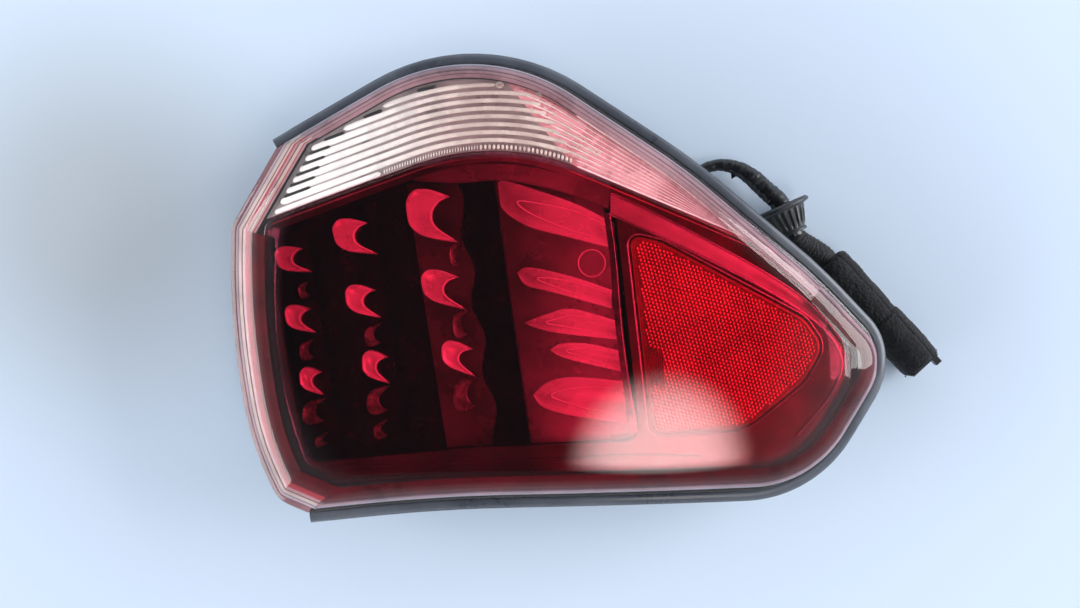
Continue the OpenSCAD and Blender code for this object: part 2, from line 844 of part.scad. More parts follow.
module vent_cap(i) {
    color("#202124")
        at_spot(vent_spots[i])
            translate([0, 0, floor_z - 9])
                difference() {
                    union() {
                        cylinder(6, vent_radius + 1, vent_radius + 1, $fn = 48);
                        cylinder(9, 2.3, 2.3, $fn = 32);
                    }
                    for (a = [0 : 60 : 300])
                        rotate([0, 0, a])
                            translate([vent_radius - 1, -1, -1])
                                cube([4, 2, 4]);
                }
}

module led_connector() {
    color("#24262a")
        difference() {
            union() {
                connector_block(0, floor_z - 8, tub_z + 1);
                connector_block(2, floor_z - 3, floor_z);
            }
            for (side = [-1, 1])
                translate([connector_spot.x - 12, connector_spot.y + side * 8 - 1, floor_z - 9])
                    cube([24, 2, 5]);
        }
}

// Leads and harness: route points [x, y, z, radius] by hand, then one skin over round sections.
turn_route = [
    [-84, 84, 11, 2], [-74, 81, 12, 2], [-64, 78, 18, 2], [-54, 74, 25, 2], [-44, 71, 27.6, 2],
    [-20, 67, 27.6, 2], [10, 63, 27.6, 2], [33, 58, 27, 2], [43, 54, 22.5, 2], [51, 54.2, 16.5, 2],
    [57.6, 57.2, 13, 2], [63.6, 60.8, 11.7, 2],
];
reverse_route = [
    [-4, 93, 11, 2], [6, 89, 13, 2], [15, 83, 20, 2], [24, 76, 26, 2], [34, 68, 26.5, 2],
    [43, 61, 22, 2], [50, 58, 14.5, 2], [57, 60, 9, 2], [62.5, 62.6, 8.2, 2],
];
led_route = [
    [-76.8, -30, 24.8, 2], [-71, -28, 25, 2], [-64, -23, 26.5, 2], [-54, -15, 27.6, 2], [-30, 5, 27.6, 2],
    [-6, 22, 27.6, 2], [16, 37, 27.4, 2], [34, 44, 25, 2], [45, 47.5, 16, 2], [52.5, 51.5, 9.5, 2],
    [58.9, 55.5, 8.2, 2], [64.7, 59, 8.1, 2],
];
harness_route = [
    [64, 61, 9.3, 4.6], [70, 64.6, 8.8, 4.6], [79, 70, 8.2, 4], [89.4, 74.8, 8, 3.8], [96.4, 77.4, 8.6, 3.8],
    [104, 77.4, 9.6, 4.2], [112, 74.8, 11, 5], [118.8, 70.2, 13, 5.6], [124.6, 64.4, 15, 6],
    [129.6, 59.4, 16.6, 6.2], [134.2, 55.4, 17.6, 6.3], [137.2, 50, 17.7, 6.3], [141, 41.4, 17.7, 6.3],
    [143.6, 35.6, 17.5, 6.3], [145.2, 33, 17.1, 6.3],
];
neck_route = [
    [145.3, 32.8, 17, 7.4], [147, 30.2, 16.7, 7.6], [151, 27.6, 16, 7.6], [155.4, 25.2, 15.2, 7.7],
    [159.6, 22.6, 14.5, 7.7], [163.4, 20.1, 13.9, 7.6], [166, 17.3, 13.6, 7.4],
];
tube_sides = 12;

function along(route, i) =
    let (n = len(route), a = route[max(i - 1, 0)], b = route[min(i + 1, n - 1)])
    unit([b.x - a.x, b.y - a.y, b.z - a.z]);
function tube_ring(route, i, sides) =
    let (
        ahead = along(route, i),
        across = unit(cross(ahead, [0, 0, 1])),
        up = cross(across, ahead),
        radius = route[i][3]
    )
    [for (k = [0 : sides - 1])
        let (a = 360 * k / sides)
        [route[i].x, route[i].y, route[i].z] + radius * (cos(a) * across + sin(a) * up)];

module tube(route, sides) {
    n = len(route);
    skin(
        [for (i = [0 : n - 1]) tube_ring(route, i, sides)],
        [route[0].x, route[0].y, route[0].z],
        [route[n - 1].x, route[n - 1].y, route[n - 1].z]
    );
}

module turn_lead() {
    color("#101113")
        tube(turn_route, 8);
}

module reverse_lead() {
    color("#101113")
        tube(reverse_route, 8);
}

module led_lead() {
    color("#101113")
        tube(led_route, 8);
}

// Saddles moulded over the leads, stuck to the back of the housing: place and angle of each.
saddles = [[-32, 69, -9.5], [-42, -5, 39.8]];
saddle_length = 8;
saddle_width = 10;
saddle_height = 5.4;
lead_radius = 2;

module lead_clips() {
    color("#2a2c30")
        for (s = saddles)
            translate([s.x, s.y, floor_z - saddle_height])
                rotate([0, 0, s.z])
                    difference() {
                        translate([-saddle_length / 2, -saddle_width / 2, 0])
                            cube([saddle_length, saddle_width, saddle_height]);
                        translate([-saddle_length, 0, saddle_height - lead_radius - 0.4])
                            rotate([0, 90, 0])
                                cylinder(2 * saddle_length, lead_radius + 0.3, lead_radius + 0.3, $fn = 32);
                    }
}

clip_spot = [74.5, 67.3, 8.5];
clip_angle = 31;

module harness_clip() {
    color("#2a2c30")
        translate([clip_spot.x, clip_spot.y, 0])
            rotate([0, 0, clip_angle])
                difference() {
                    union() {
                        translate([-3, 0, clip_spot.z])
                            rotate([0, 90, 0])
                                cylinder(6, 7, 7, $fn = 48);
                        translate([-3, -3.5, clip_spot.z + 5.5])
                            cube([6, 7, floor_z - clip_spot.z - 5.5]);
                    }
                    translate([-4, 0, clip_spot.z])
                        rotate([0, 90, 0])
                            cylinder(8, 4.9, 4.9, $fn = 48);
                }
}

grommet_spot = [137.2, 50, 17.7];
grommet_angle = -66;

module grommet() {
    ring = grommet_bore + 1.8;
    color("#26282b")
        translate(grommet_spot)
            rotate([0, 0, grommet_angle])
                rotate([0, 90, 0])
                    difference() {
                        union() {
                            rotate_extrude($fn = 72)
                                polygon([
                                    [0, -2], [grommet_radius - 1.5, -2], [grommet_radius, -0.8],
                                    [grommet_radius, 0.8], [grommet_radius - 2.5, 1.6],
                                    [ring + 3.6, 2.2], [ring, grommet_length - 2],
                                    [ring + 0.8, grommet_length - 1.6], [ring + 0.8, grommet_length],
                                    [0, grommet_length],
                                ]);
                            for (a = [0 : 20 : 340])
                                rotate([0, 0, a])
                                    rotate([90, 0, 0])
                                        translate([0, 0, -0.6])
                                            linear_extrude(1.2)
                                                polygon([
                                                    [ring, 1], [grommet_radius - 2.2, 1],
                                                    [ring + 1.2, grommet_length - 3], [ring - 0.5, grommet_length - 3],
                                                ]);
                        }
                        translate([0, 0, -3])
                            cylinder(grommet_length + 6, grommet_bore, grommet_bore, $fn = 48);
                    }
}

module harness() {
    color("#0e0f12")
        tube(harness_route, tube_sides);
}

module neck_tape() {
    color("#111113")
        tube(neck_route, tube_sides);
}

wrap_spot = [166, 17.3, 13.6];
wrap_angle = -47.3;
plug_length = 32;
plug_proud = 1.5;

module at_wrap() {
    translate(wrap_spot)
        rotate([0, 0, wrap_angle])
            children();
}

module plug_box(extra, from, to) {
    translate([wrap_length + from, -plug_width / 2 - extra, -plug_height / 2 - extra])
        cube([to - from, plug_width + 2 * extra, plug_height + 2 * extra]);
}

module connector_wrap() {
    color("#0b0b0d")
        at_wrap()
            difference() {
                rotate([0, 90, 0])
                    rotate_extrude($fn = 64)
                        polygon([
                            [0, 0], [wrap_radius - 2.5, 0], [wrap_radius - 0.4, 3], [wrap_radius, 12],
                            [wrap_radius - 0.5, wrap_length - 42], [wrap_radius + 0.5, wrap_length - 37],
                            [wrap_radius + 0.5, wrap_length - 2], [wrap_radius, wrap_length],
                            [0, wrap_length],
                        ]);
                plug_box(0.15, -plug_length, 1);
            }
}

module connector_housing() {
    color("#1c1d20")
        at_wrap()
            difference() {
                union() {
                    plug_box(0, -plug_length, plug_proud);
                    translate([wrap_length + plug_proud - 0.5, plug_width / 2 - 4, -3])
                        cube([6, 4, 6]);
                }
                plug_box(-plug_wall, plug_proud - plug_depth, plug_proud + 1);
            }
}

module connector_terminals() {
    color("#c9a24a")
        at_wrap()
            for (row = [-1, 1], k = [-1, 0, 1])
                translate([wrap_length + plug_proud - plug_depth, k * 4.6 - 0.4, row * 2.6 - 1.1])
                    cube([7, 0.8, 2.2]);
}

outer_lens();
red_lens();
ribbed_optic();
lens_seal();
housing();
inner_bezel();
led_reflector();
strip_reflector();
reflex_reflector();
led_board(0);  // led_board_1
led_board(1);  // led_board_2
led_board(2);  // led_board_3
led_board(3);  // led_board_4
led_row(0);  // led_row_1
led_row(1);  // led_row_2
led_row(2);  // led_row_3
led_row(3);  // led_row_4
board_jumpers();
board_screws();
bezel_screws();
at_spot(turn_spot) bulb("#e08a1e");  // turn_bulb
at_spot(turn_spot) holder();  // turn_holder
at_spot(turn_spot) holder_ring();  // turn_holder_seal
at_spot(reverse_spot) bulb("#e6e6e0");  // reverse_bulb
at_spot(reverse_spot) holder();  // reverse_holder
at_spot(reverse_spot) holder_ring();  // reverse_holder_seal
stud(0);  // stud_upper
stud(1);  // stud_lower
stud(2);  // stud_outer
stud_gasket(0);  // stud_gasket_upper
stud_gasket(1);  // stud_gasket_lower
stud_gasket(2);  // stud_gasket_outer
vent_cap(0);  // vent_cap_1
vent_cap(1);  // vent_cap_2
led_connector();
turn_lead();
reverse_lead();
led_lead();
lead_clips();
harness_clip();
harness();
grommet();
neck_tape();
connector_wrap();
connector_housing();
connector_terminals();
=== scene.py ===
import math

import bmesh
import bpy
import numpy as np
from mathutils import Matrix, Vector, noise


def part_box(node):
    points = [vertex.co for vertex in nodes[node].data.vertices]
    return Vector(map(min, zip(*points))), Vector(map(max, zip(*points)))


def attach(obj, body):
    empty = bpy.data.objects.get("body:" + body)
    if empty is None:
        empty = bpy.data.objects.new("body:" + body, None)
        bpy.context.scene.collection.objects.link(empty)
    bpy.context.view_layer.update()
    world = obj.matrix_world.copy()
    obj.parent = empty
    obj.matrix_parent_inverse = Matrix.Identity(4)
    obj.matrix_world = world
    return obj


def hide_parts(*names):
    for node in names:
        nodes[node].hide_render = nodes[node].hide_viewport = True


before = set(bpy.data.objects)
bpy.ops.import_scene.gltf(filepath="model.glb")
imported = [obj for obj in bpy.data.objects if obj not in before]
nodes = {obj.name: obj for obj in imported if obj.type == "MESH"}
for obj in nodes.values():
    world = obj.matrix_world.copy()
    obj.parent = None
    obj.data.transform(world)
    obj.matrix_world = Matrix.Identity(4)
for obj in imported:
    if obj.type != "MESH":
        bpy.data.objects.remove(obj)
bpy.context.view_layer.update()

# The lamp lies on its back on a pale table, and the camera looks straight down at it. The table is pale
# blue, with a soft grey patch to the left of the lamp put into its colour as a painted shadow. All sizes
# below are in millimetres, in the frame of the imported part, and meshes are made in metres.
photo_width, focal_px, sensor = 1080, 1299, 36
camera_spot = (-12.15, -9.05, 820)
table_reach, table_level = 3000, -0.2
table_blue, table_shadow_grey = (0.67, 0.79, 0.95, 1), (0.50, 0.56, 0.62, 1)
shadow_middle, shadow_reach, blue_reach = (-0.3, 0.05, 0), 0.02, 0.17
scene = bpy.context.scene


def to_metres(points):
    return [(x / 1000, y / 1000, z / 1000) for x, y, z in points]


def set_inputs(node, values):
    for name, value in values.items():
        node.inputs[name].default_value = value


def add(n, kind, values=None, **settings):
    """A shader node with its settings, and plain values for some of its inputs."""
    node = n.new("ShaderNode" + kind)
    for key, setting in settings.items():
        setattr(node, key, setting)
    set_inputs(node, values or {})
    return node


def join(l, *links):
    """Links, each given as a node, its output, the node that it leads to and the input there."""
    for source, output, target, entry in links:
        l.new(source.outputs[output], target.inputs[entry])


def new_finish(name):
    """A material with its Principled shader, both of which each section sets up itself."""
    finish = bpy.data.materials.new(name)
    finish.use_nodes = True
    tree = finish.node_tree
    return finish, tree.nodes, tree.links, tree.nodes["Principled BSDF"]


camera_data = bpy.data.cameras.new("camera")
camera_data.sensor_width = sensor
camera_data.lens = sensor * focal_px / photo_width
camera_data.clip_start = 0.01
camera = bpy.data.objects.new("camera", camera_data)
camera.location = to_metres([camera_spot])[0]
scene.collection.objects.link(camera)
scene.camera = camera
scene.view_settings.view_transform = "Standard"

table_mesh = bpy.data.meshes.new("table")
table_mesh.from_pydata(to_metres([(x * table_reach, y * table_reach, table_level)
                                  for x, y in ((-1, -1), (1, -1), (1, 1), (-1, 1))]), [], [(0, 1, 2, 3)])
table = bpy.data.objects.new("table", table_mesh)
scene.collection.objects.link(table)
finish, n, l, shader = new_finish("table_colour_and_shadow")
place = add(n, "TexCoord")
# The grey patch to the left of the lamp, fading to blue further out, is a painted shadow of the lamp.
away = add(n, "VectorMath", {1: shadow_middle}, operation="DISTANCE")
fade = add(n, "MapRange", {"From Min": shadow_reach, "From Max": blue_reach}, interpolation_type="SMOOTHSTEP")
blend = add(n, "Mix", {"A": table_shadow_grey, "B": table_blue}, data_type="RGBA")
grain = add(n, "TexNoise", {"Scale": 900})
bump = add(n, "Bump", {"Strength": 0.05, "Distance": 0.0002})
join(l, (place, "Object", away, 0), (away, "Value", fade, "Value"), (fade, "Result", blend, "Factor"),
     (blend, "Result", shader, "Base Color"), (place, "Object", grain, "Vector"),
     (grain, "Fac", bump, "Height"), (bump, "Normal", shader, "Normal"))
set_inputs(shader, {"Roughness": 0.55, "Specular IOR Level": 0.2})
table_mesh.materials.append(finish)

# Soft light: a large low window to the right and a wide low lamp at the left, both aimed at the lamp
# cluster. The room is dark overhead and pale towards its walls, with one soft bright patch high up,
# which glows in the lens.
lamps = {  # tilt from the vertical, compass angle from +X, distance in metres, width, height, power
    "window": (68, 12, 2.8, 2.1, 1.8, 76),
    "fill": (74, 190, 3.6, 4.6, 2.2, 165),
}
lamp_aim_height = 0.06
wall_colour, ceiling_colour = (0.78, 0.84, 0.92, 1), (0.02, 0.022, 0.025, 1)
patch_colour = (3.3, 3.1, 3.0, 1)
patch_tilt, patch_compass, patch_edge, patch_core = 28, -52, 13, 1


def way_up(tilt, compass):
    tilt, compass = math.radians(tilt), math.radians(compass)
    return Vector((math.sin(tilt) * math.cos(compass), math.sin(tilt) * math.sin(compass), math.cos(tilt)))


for name, (tilt, compass, distance, wide, high, power) in lamps.items():
    light = bpy.data.lights.new(name, "AREA")
    light.shape = "RECTANGLE"
    light.size = wide
    light.size_y = high
    light.energy = power
    lamp = bpy.data.objects.new(name, light)
    aim = way_up(tilt, compass)
    lamp.location = aim * distance + Vector((0, 0, lamp_aim_height))
    lamp.rotation_mode = "QUATERNION"
    lamp.rotation_quaternion = aim.to_track_quat("Z", "Y")
    scene.collection.objects.link(lamp)
world = bpy.data.worlds.new("room")
scene.world = world
world.use_nodes = True
n, l = world.node_tree.nodes, world.node_tree.links
place = add(n, "TexCoord")
split = add(n, "SeparateXYZ")
walls = add(n, "ValToRGB")
for element, colour, position in zip(walls.color_ramp.elements, (wall_colour, ceiling_colour), (0.25, 0.85)):
    element.color = colour
    element.position = position
patch = add(n, "VectorMath", {1: way_up(patch_tilt, patch_compass)}, operation="DOT_PRODUCT")
soft_edge = add(n, "MapRange", {"From Min": math.cos(math.radians(patch_edge)),
                                "From Max": math.cos(math.radians(patch_core))}, interpolation_type="SMOOTHERSTEP")
bright = add(n, "Mix", {"B": patch_colour}, data_type="RGBA")
join(l, (place, "Generated", split, 0), (split, "Z", walls, "Fac"), (place, "Generated", patch, 0),
     (patch, "Value", soft_edge, "Value"), (soft_edge, "Result", bright, "Factor"), (walls, "Color", bright, "A"),
     (bright, "Result", n["Background"], "Color"))
set_inputs(n["Background"], {"Strength": 1.45})

# The cable: a limp bundle of wires wound with shiny adhesive tape, which comes out from under the
# flange, bends over the table and grows thicker where its branches join. Tape turns overlap.
route = [
    (64, 61, 9.3, 4.6), (70, 64.6, 8.8, 4.6), (79, 70, 8.2, 4), (89.4, 74.8, 8, 3.8), (96.4, 77.4, 8.6, 3.8),
    (104, 77.4, 9.6, 4.2), (112, 74.8, 11, 5), (118.8, 70.2, 13, 5.6), (124.6, 64.4, 15, 6),
    (129.6, 59.4, 16.6, 6.2), (134.2, 55.4, 17.6, 6.3), (137.2, 50, 17.7, 6.3),
    (141, 41.4, 17.7, 6.3), (143.6, 35.6, 17.5, 6.3), (145.2, 33, 17.1, 6.3),
]
cable_sides, tape_turn = 36, 7.5
dust_colour = (0.55, 0.53, 0.5)


def smooth_path(points, step):
    """A smooth curve through points, sampled about every step along its length."""
    p = np.array(points, float)
    p = np.vstack([2 * p[0] - p[1], p, 2 * p[-1] - p[-2]])
    found = []
    for i in range(1, len(p) - 2):
        count = max(2, int(np.ceil(np.linalg.norm(p[i + 1, :3] - p[i, :3]) / step)))
        a, b, c, d = p[i - 1 : i + 3]
        for t in np.arange(count) / count:
            found.append(0.5 * (2 * b + (c - a) * t + (2 * a - 5 * b + 4 * c - d) * t * t
                                + (3 * b - a - 3 * c + d) * t ** 3))
    found.append(p[-2])
    return np.array(found)


def run_along(line):
    """The distance from the start of a line to each of its points."""
    return np.concatenate([[0], np.cumsum(np.linalg.norm(np.diff(line, axis=0), axis=1))])


def angles(count):
    return np.arange(count) / count * 2 * np.pi


def lumps(run, sides, along_scale, round_scale):
    """Smooth random heights over a tube, by the distance along it and the angle round it."""
    return np.array([[noise.noise(Vector((s * along_scale, math.cos(a) * round_scale, math.sin(a) * round_scale)))
                      for a in angles(sides)] for s in run])


def grid_faces(rows, columns, wrap_rows=False, wrap_columns=False):
    """Faces between rows of points, each row a run of columns points."""
    faces = []
    for r in range(rows if wrap_rows else rows - 1):
        here, there = r * columns, (r + 1) % rows * columns
        for c in range(columns if wrap_columns else columns - 1):
            after = (c + 1) % columns
            faces.append((here + c, here + after, there + after, there + c))
    return faces


def capped_tube(path, radii):
    """A closed tube round a path in space. radii holds one radius for each ring and side."""
    ahead = np.gradient(path, axis=0)
    ahead /= np.linalg.norm(ahead, axis=1)[:, None]
    across = np.cross(ahead, (0, 0, 1))
    across /= np.linalg.norm(across, axis=1)[:, None]
    up = np.cross(across, ahead)
    count, sides = radii.shape
    angle = angles(sides)[None, :, None]
    rings = path[:, None] + radii[:, :, None] * (np.cos(angle) * across[:, None] + np.sin(angle) * up[:, None])
    last, tips = (count - 1) * sides, count * sides
    faces = grid_faces(count, sides, wrap_columns=True)
    faces += [(tips, (k + 1) % sides, k) for k in range(sides)]
    faces += [(tips + 1, last + k, last + (k + 1) % sides) for k in range(sides)]
    return np.vstack([rings.reshape(-1, 3), path[:1], path[-1:]]), faces


def new_piece(name, points, faces, finish, slot, smooth=40, more=(), paint=None):
    """A mesh piece of the lamp from points in millimetres. Edges sharper than smooth stay sharp. more
    holds further finishes, and paint the number of the finish on each face."""
    mesh = bpy.data.meshes.new(name)
    mesh.from_pydata((np.asarray(points, float) / 1000).tolist(), [], faces)
    if paint is not None:
        mesh.polygons.foreach_set("material_index", np.asarray(paint, dtype=np.int32))
    bm = bmesh.new()
    bm.from_mesh(mesh)
    bmesh.ops.remove_doubles(bm, verts=bm.verts, dist=1e-6)
    bmesh.ops.recalc_face_normals(bm, faces=bm.faces)
    bm.to_mesh(mesh)
    bm.free()
    mesh.shade_smooth()
    mesh.set_sharp_from_angle(angle=math.radians(smooth))
    for each in (finish, *more):
        mesh.materials.append(each)
    piece = bpy.data.objects.new(name, mesh)
    scene.collection.objects.link(piece)
    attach(piece, "root")
    return piece


def shader_group(name, inputs, outputs):
    """A node group with plain number inputs. It puts out only masks and heights."""
    group = bpy.data.node_groups.new(name, "ShaderNodeTree")
    for label, value in inputs.items():
        socket = group.interface.new_socket(label, in_out="INPUT", socket_type="NodeSocketFloat")
        socket.default_value = value
    for label in outputs:
        group.interface.new_socket(label, in_out="OUTPUT", socket_type="NodeSocketFloat")
    n = group.nodes
    return group, n, group.links, n.new("NodeGroupInput"), n.new("NodeGroupOutput")


# How far a place lies on the way from Start to End along X.
sideways, n, l, given, made = shader_group("sideways", {"Start": -0.1, "End": 0.1}, ["Share"])
place = add(n, "TexCoord")
split = add(n, "SeparateXYZ")
fade = add(n, "MapRange", interpolation_type="SMOOTHSTEP")
join(l, (place, "Object", split, 0), (split, "X", fade, "Value"), (given, "Start", fade, "From Min"),
     (given, "End", fade, "From Max"), (fade, "Result", made, "Share"))

# Fine moulding grain and cloudy handling marks, used by every plastic, rubber, metal and tape, and
# specks of dust on faces that look up.
surface_marks, n, l, given, made = shader_group(
    "surface_marks", {"Grain Scale": 1500, "Cloud Scale": 40}, ["Grain", "Cloud", "Dust"])
place = add(n, "TexCoord")
fine = add(n, "TexNoise", {"Detail": 4})
cloud = add(n, "TexNoise", {"Detail": 6, "Roughness": 0.62})
evened = add(n, "MapRange", {"From Min": 0.35, "From Max": 0.65})
specks = add(n, "TexNoise", {"Scale": 2600})
few = add(n, "MapRange", {"From Min": 0.66, "From Max": 0.72})
facing = add(n, "NewGeometry")
height = add(n, "SeparateXYZ")
upward = add(n, "Math", operation="MULTIPLY", use_clamp=True)
join(l, (place, "Object", fine, "Vector"), (given, "Grain Scale", fine, "Scale"), (fine, "Fac", made, "Grain"),
     (place, "Object", cloud, "Vector"), (given, "Cloud Scale", cloud, "Scale"), (cloud, "Fac", evened, "Value"),
     (evened, "Result", made, "Cloud"), (place, "Object", specks, "Vector"), (specks, "Fac", few, "Value"),
     (facing, "Normal", height, 0), (few, "Result", upward, 0), (height, "Z", upward, 1), (upward, 0, made, "Dust"))


def marked_finish(name, dark, light, rough, grain, cloud_scale=40, metallic=0.0, dust=0.0, coat=0.0,
                  specular=0.5, right=None):
    """A finish whose colour runs from dark to light in clouds, its roughness in rough (low, high), and
    whose bump is grain (scale, depth in millimetres). Dust is the share of pale specks on top. right
    holds another dark and light, and the two places in metres between which they take over."""
    finish, n, l, shader = new_finish(name)
    marks = add(n, "Group", {"Grain Scale": grain[0], "Cloud Scale": cloud_scale}, node_tree=surface_marks)

    def mixed(share, first, second):
        """Two colours mixed, each a plain colour or the output of a node."""
        mix = add(n, "Mix", data_type="RGBA")
        l.new(share, mix.inputs["Factor"])
        for entry, colour in (("A", first), ("B", second)):
            if isinstance(colour, tuple):
                mix.inputs[entry].default_value = (*colour, 1)
            else:
                l.new(colour, mix.inputs[entry])
        return mix.outputs["Result"]

    colour = mixed(marks.outputs["Cloud"], dark, light)
    if right:
        far_dark, far_light, start, end = right
        where = add(n, "Group", {"Start": start, "End": end}, node_tree=sideways)
        colour = mixed(where.outputs["Share"], colour, mixed(marks.outputs["Cloud"], far_dark, far_light))
    if dust:
        share = add(n, "Math", {1: dust}, operation="MULTIPLY")
        join(l, (marks, "Dust", share, 0))
        colour = mixed(share.outputs[0], colour, dust_colour)
    l.new(colour, shader.inputs["Base Color"])
    worn = add(n, "MapRange", {"To Min": rough[0], "To Max": rough[1]})
    bump = add(n, "Bump", {"Distance": grain[1] / 1000, "Strength": 1})
    join(l, (marks, "Cloud", worn, "Value"), (worn, "Result", shader, "Roughness"),
         (marks, "Grain", bump, "Height"), (bump, "Normal", shader, "Normal"))
    set_inputs(shader, {"Metallic": metallic, "Coat Weight": coat, "Coat Roughness": 0.08,
                        "Specular IOR Level": specular})
    return finish


cable_tape = marked_finish("cable_tape", (0.006, 0.007, 0.009), (0.016, 0.018, 0.022), (0.22, 0.42),
                           (900, 0.06), cloud_scale=160, dust=0.15, specular=0.6)
line = smooth_path(route, 0.7)
centre, run = line[:, :3], run_along(line[:, :3])
lap = (run[:, None] / tape_turn + np.arange(cable_sides) / cable_sides) % 1.0
wrinkled = np.interp(run, [0, 38, 50, 78, 90, 200], [0.25, 0.3, 1, 1, 0.45, 0.4])[:, None]
radii = line[:, 3:] - 0.35 + 0.3 * lap ** 2 + 0.45 * wrinkled * lumps(run, cable_sides, 1 / 2.2, 1.2)
harness = new_piece("harness_cable", *capped_tube(centre, radii), cable_tape, "cable_tape", smooth=50)
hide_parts("harness")

# The loose end of the tape, a short flap of the same thin film, stands off the cable where the
# winding was finished.
flag = [(106.6, 73.2, 10.5), (110.8, 70.9, 11.5), (107.4, 68.9, 9.5), (109.2, 74.2, 13.2), (113, 72.6, 13.6)]
new_piece("tape_end", [*flag, *[(x + 0.1, y + 0.1, z - 0.5) for x, y, z in flag]],
          [(0, 1, 2), (0, 3, 4, 1), (5, 7, 6), (5, 6, 9, 8), (0, 2, 7, 5), (2, 1, 6, 7), (3, 8, 9, 4), (0, 5, 8, 3),
           (1, 4, 9, 6)], cable_tape, "cable_tape", smooth=20)

# The grommet seals the cable where it goes through the body: one soft rubber moulding with a lipped
# flange, a ribbed cone that squeezes into its hole, and a collar. It is pushed onto the taped cable.
grommet_spot, grommet_angle = (137.2, 50, 17.7), math.radians(-66)
cone_ribs, rib_depth = 18, 0.75
grommet_profile = [  # radius, place along the cable
    (7.0, -2.0), (12, -2.0), (15.6, -2.0), (16.6, -1.6), (17.3, -0.7), (17.45, 0), (17.3, 0.6), (16.4, 1.2),
    (15.2, 1.4), (14.2, 1.7), (13.4, 2.2), (12.9, 3.2), (12.2, 5), (11.2, 8), (10.2, 11), (9.4, 13.4),
    (8.75, 14.6), (9.0, 15.1), (9.4, 15.6), (9.4, 16.6), (8.9, 17), (7.2, 17), (6.9, 16.2), (6.85, 0),
]
grommet_rubber = marked_finish("grommet_rubber", (0.022, 0.024, 0.028), (0.05, 0.054, 0.06), (0.3, 0.5),
                               (1200, 0.05), cloud_scale=90, dust=0.3)


def ring_at(along, angle, radius):
    """Points round the X axis."""
    return np.column_stack([np.full(len(angle), float(along)), np.cos(angle) * radius, np.sin(angle) * radius])


def turned_flat(points, angle, spot):
    """Points turned about the vertical and moved to spot."""
    c, s = math.cos(angle), math.sin(angle)
    x, y, z = np.asarray(points, float).T
    return np.column_stack([x * c - y * s, x * s + y * c, z]) + np.array(spot)


around = angles(cone_ribs * 12)
ridge = np.clip(np.cos(around * cone_ribs) * 1.6 + 0.2, -1, 1) - 0.4
rings = []
for radius, along in grommet_profile:
    share = np.interp(along, [2.2, 3.2, 12.5, 14.2], [0, 1, 1, 0]) if radius > 8.8 else 0
    rings.append(ring_at(along, around, radius + share * rib_depth * ridge))
grommet = new_piece("grommet_moulding", turned_flat(np.vstack(rings), grommet_angle, grommet_spot),
                    grid_faces(len(rings), len(around), wrap_rows=True, wrap_columns=True),
                    grommet_rubber, "grommet_rubber", smooth=55)
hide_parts("grommet")

# Past the grommet the cable is wound with woven cloth tape, in narrow overlapping turns with a
# slightly frayed edge.
cloth_route = [
    (145.3, 32.8, 17, 7.4), (147, 30.2, 16.7, 7.6), (151, 27.6, 16, 7.6), (155.4, 25.2, 15.2, 7.7),
    (159.6, 22.6, 14.5, 7.7), (163.4, 20.1, 13.9, 7.6), (166, 17.3, 13.6, 7.4),
]
cloth_sides, cloth_turn = 64, 2.6


def woven_finish(name, dark, light, thread_scale, depth, rough, fuzz):
    """A woven or felted textile: crossed threads, tufts and a soft sheen on the fibres."""
    finish, n, l, shader = new_finish(name)
    place = add(n, "TexCoord")
    tuft = add(n, "TexVoronoi", {"Scale": thread_scale}, feature="SMOOTH_F1")
    cloud = add(n, "TexNoise", {"Scale": thread_scale * 1.7, "Detail": 5})
    both = add(n, "Math", operation="MULTIPLY")
    tone = add(n, "ValToRGB")
    for element, position, colour in zip(tone.color_ramp.elements, (0.12, 0.5), (dark, light)):
        element.position = position
        element.color = (*colour, 1)
    bump = add(n, "Bump", {"Distance": depth / 1000})
    join(l, (place, "Object", tuft, "Vector"), (place, "Object", cloud, "Vector"), (tuft, "Distance", both, 0),
         (cloud, "Fac", both, 1), (both, 0, tone, "Fac"), (tone, "Color", shader, "Base Color"),
         (both, 0, bump, "Height"), (bump, "Normal", shader, "Normal"))
    set_inputs(shader, {"Roughness": rough, "Sheen Weight": fuzz, "Sheen Roughness": 0.4})
    return finish


cloth_tape = woven_finish("cloth_tape", (0.004, 0.004, 0.006), (0.03, 0.031, 0.036), 1100, 0.35, 0.7, 0.15)
line = smooth_path(cloth_route, 0.25)
run = run_along(line[:, :3])
lap = (run[:, None] / cloth_turn + np.arange(cloth_sides) / cloth_sides) % 1.0
radii = line[:, 3:] - 0.75 + 0.6 * lap + 0.35 * lumps(run, cloth_sides, 1.3, 5)
neck = new_piece("neck_cloth", *capped_tube(line[:, :3], radii), cloth_tape, "cloth_tape", smooth=60)
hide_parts("neck_tape")

# The connector is padded against rattling by a sleeve of coarse black felt. It is cut from sheet,
# rolled round the cable and the connector, and a second strip is rolled over its outer end.
wrap_spot, wrap_angle = (166, 17.3, 13.6), math.radians(-47.3)
felt_sides, felt_limit = 110, 13.6
felt_profile = [  # place along the sleeve, radius
    (0.2, 7.2), (0.4, 9.6), (1.2, 11.4), (3, 12.5), (6, 12.9), (12, 13), (26, 12.8), (40, 12.6), (45, 12.5),
    (48.4, 12.4), (49.2, 13.1), (50.4, 13.4), (56, 13.5), (66, 13.3), (76, 13.5), (82, 13.3), (84.8, 12.9),
    (85.9, 12),
]
felt = woven_finish("felt_wrap", (0.0012, 0.0012, 0.0025), (0.014, 0.014, 0.02), 620, 0.9, 0.85, 0.08)
mouth_width, mouth_height = 20.6, 15.6


def box_ring(along, wide, high, corner, count):
    """A ring of points on a rounded box section, the squarer the larger corner is."""
    angle = angles(count)
    across, up = np.abs(np.cos(angle)) / (wide / 2), np.abs(np.sin(angle)) / (high / 2)
    return ring_at(along, angle, (across ** corner + up ** corner) ** (-1 / corner))


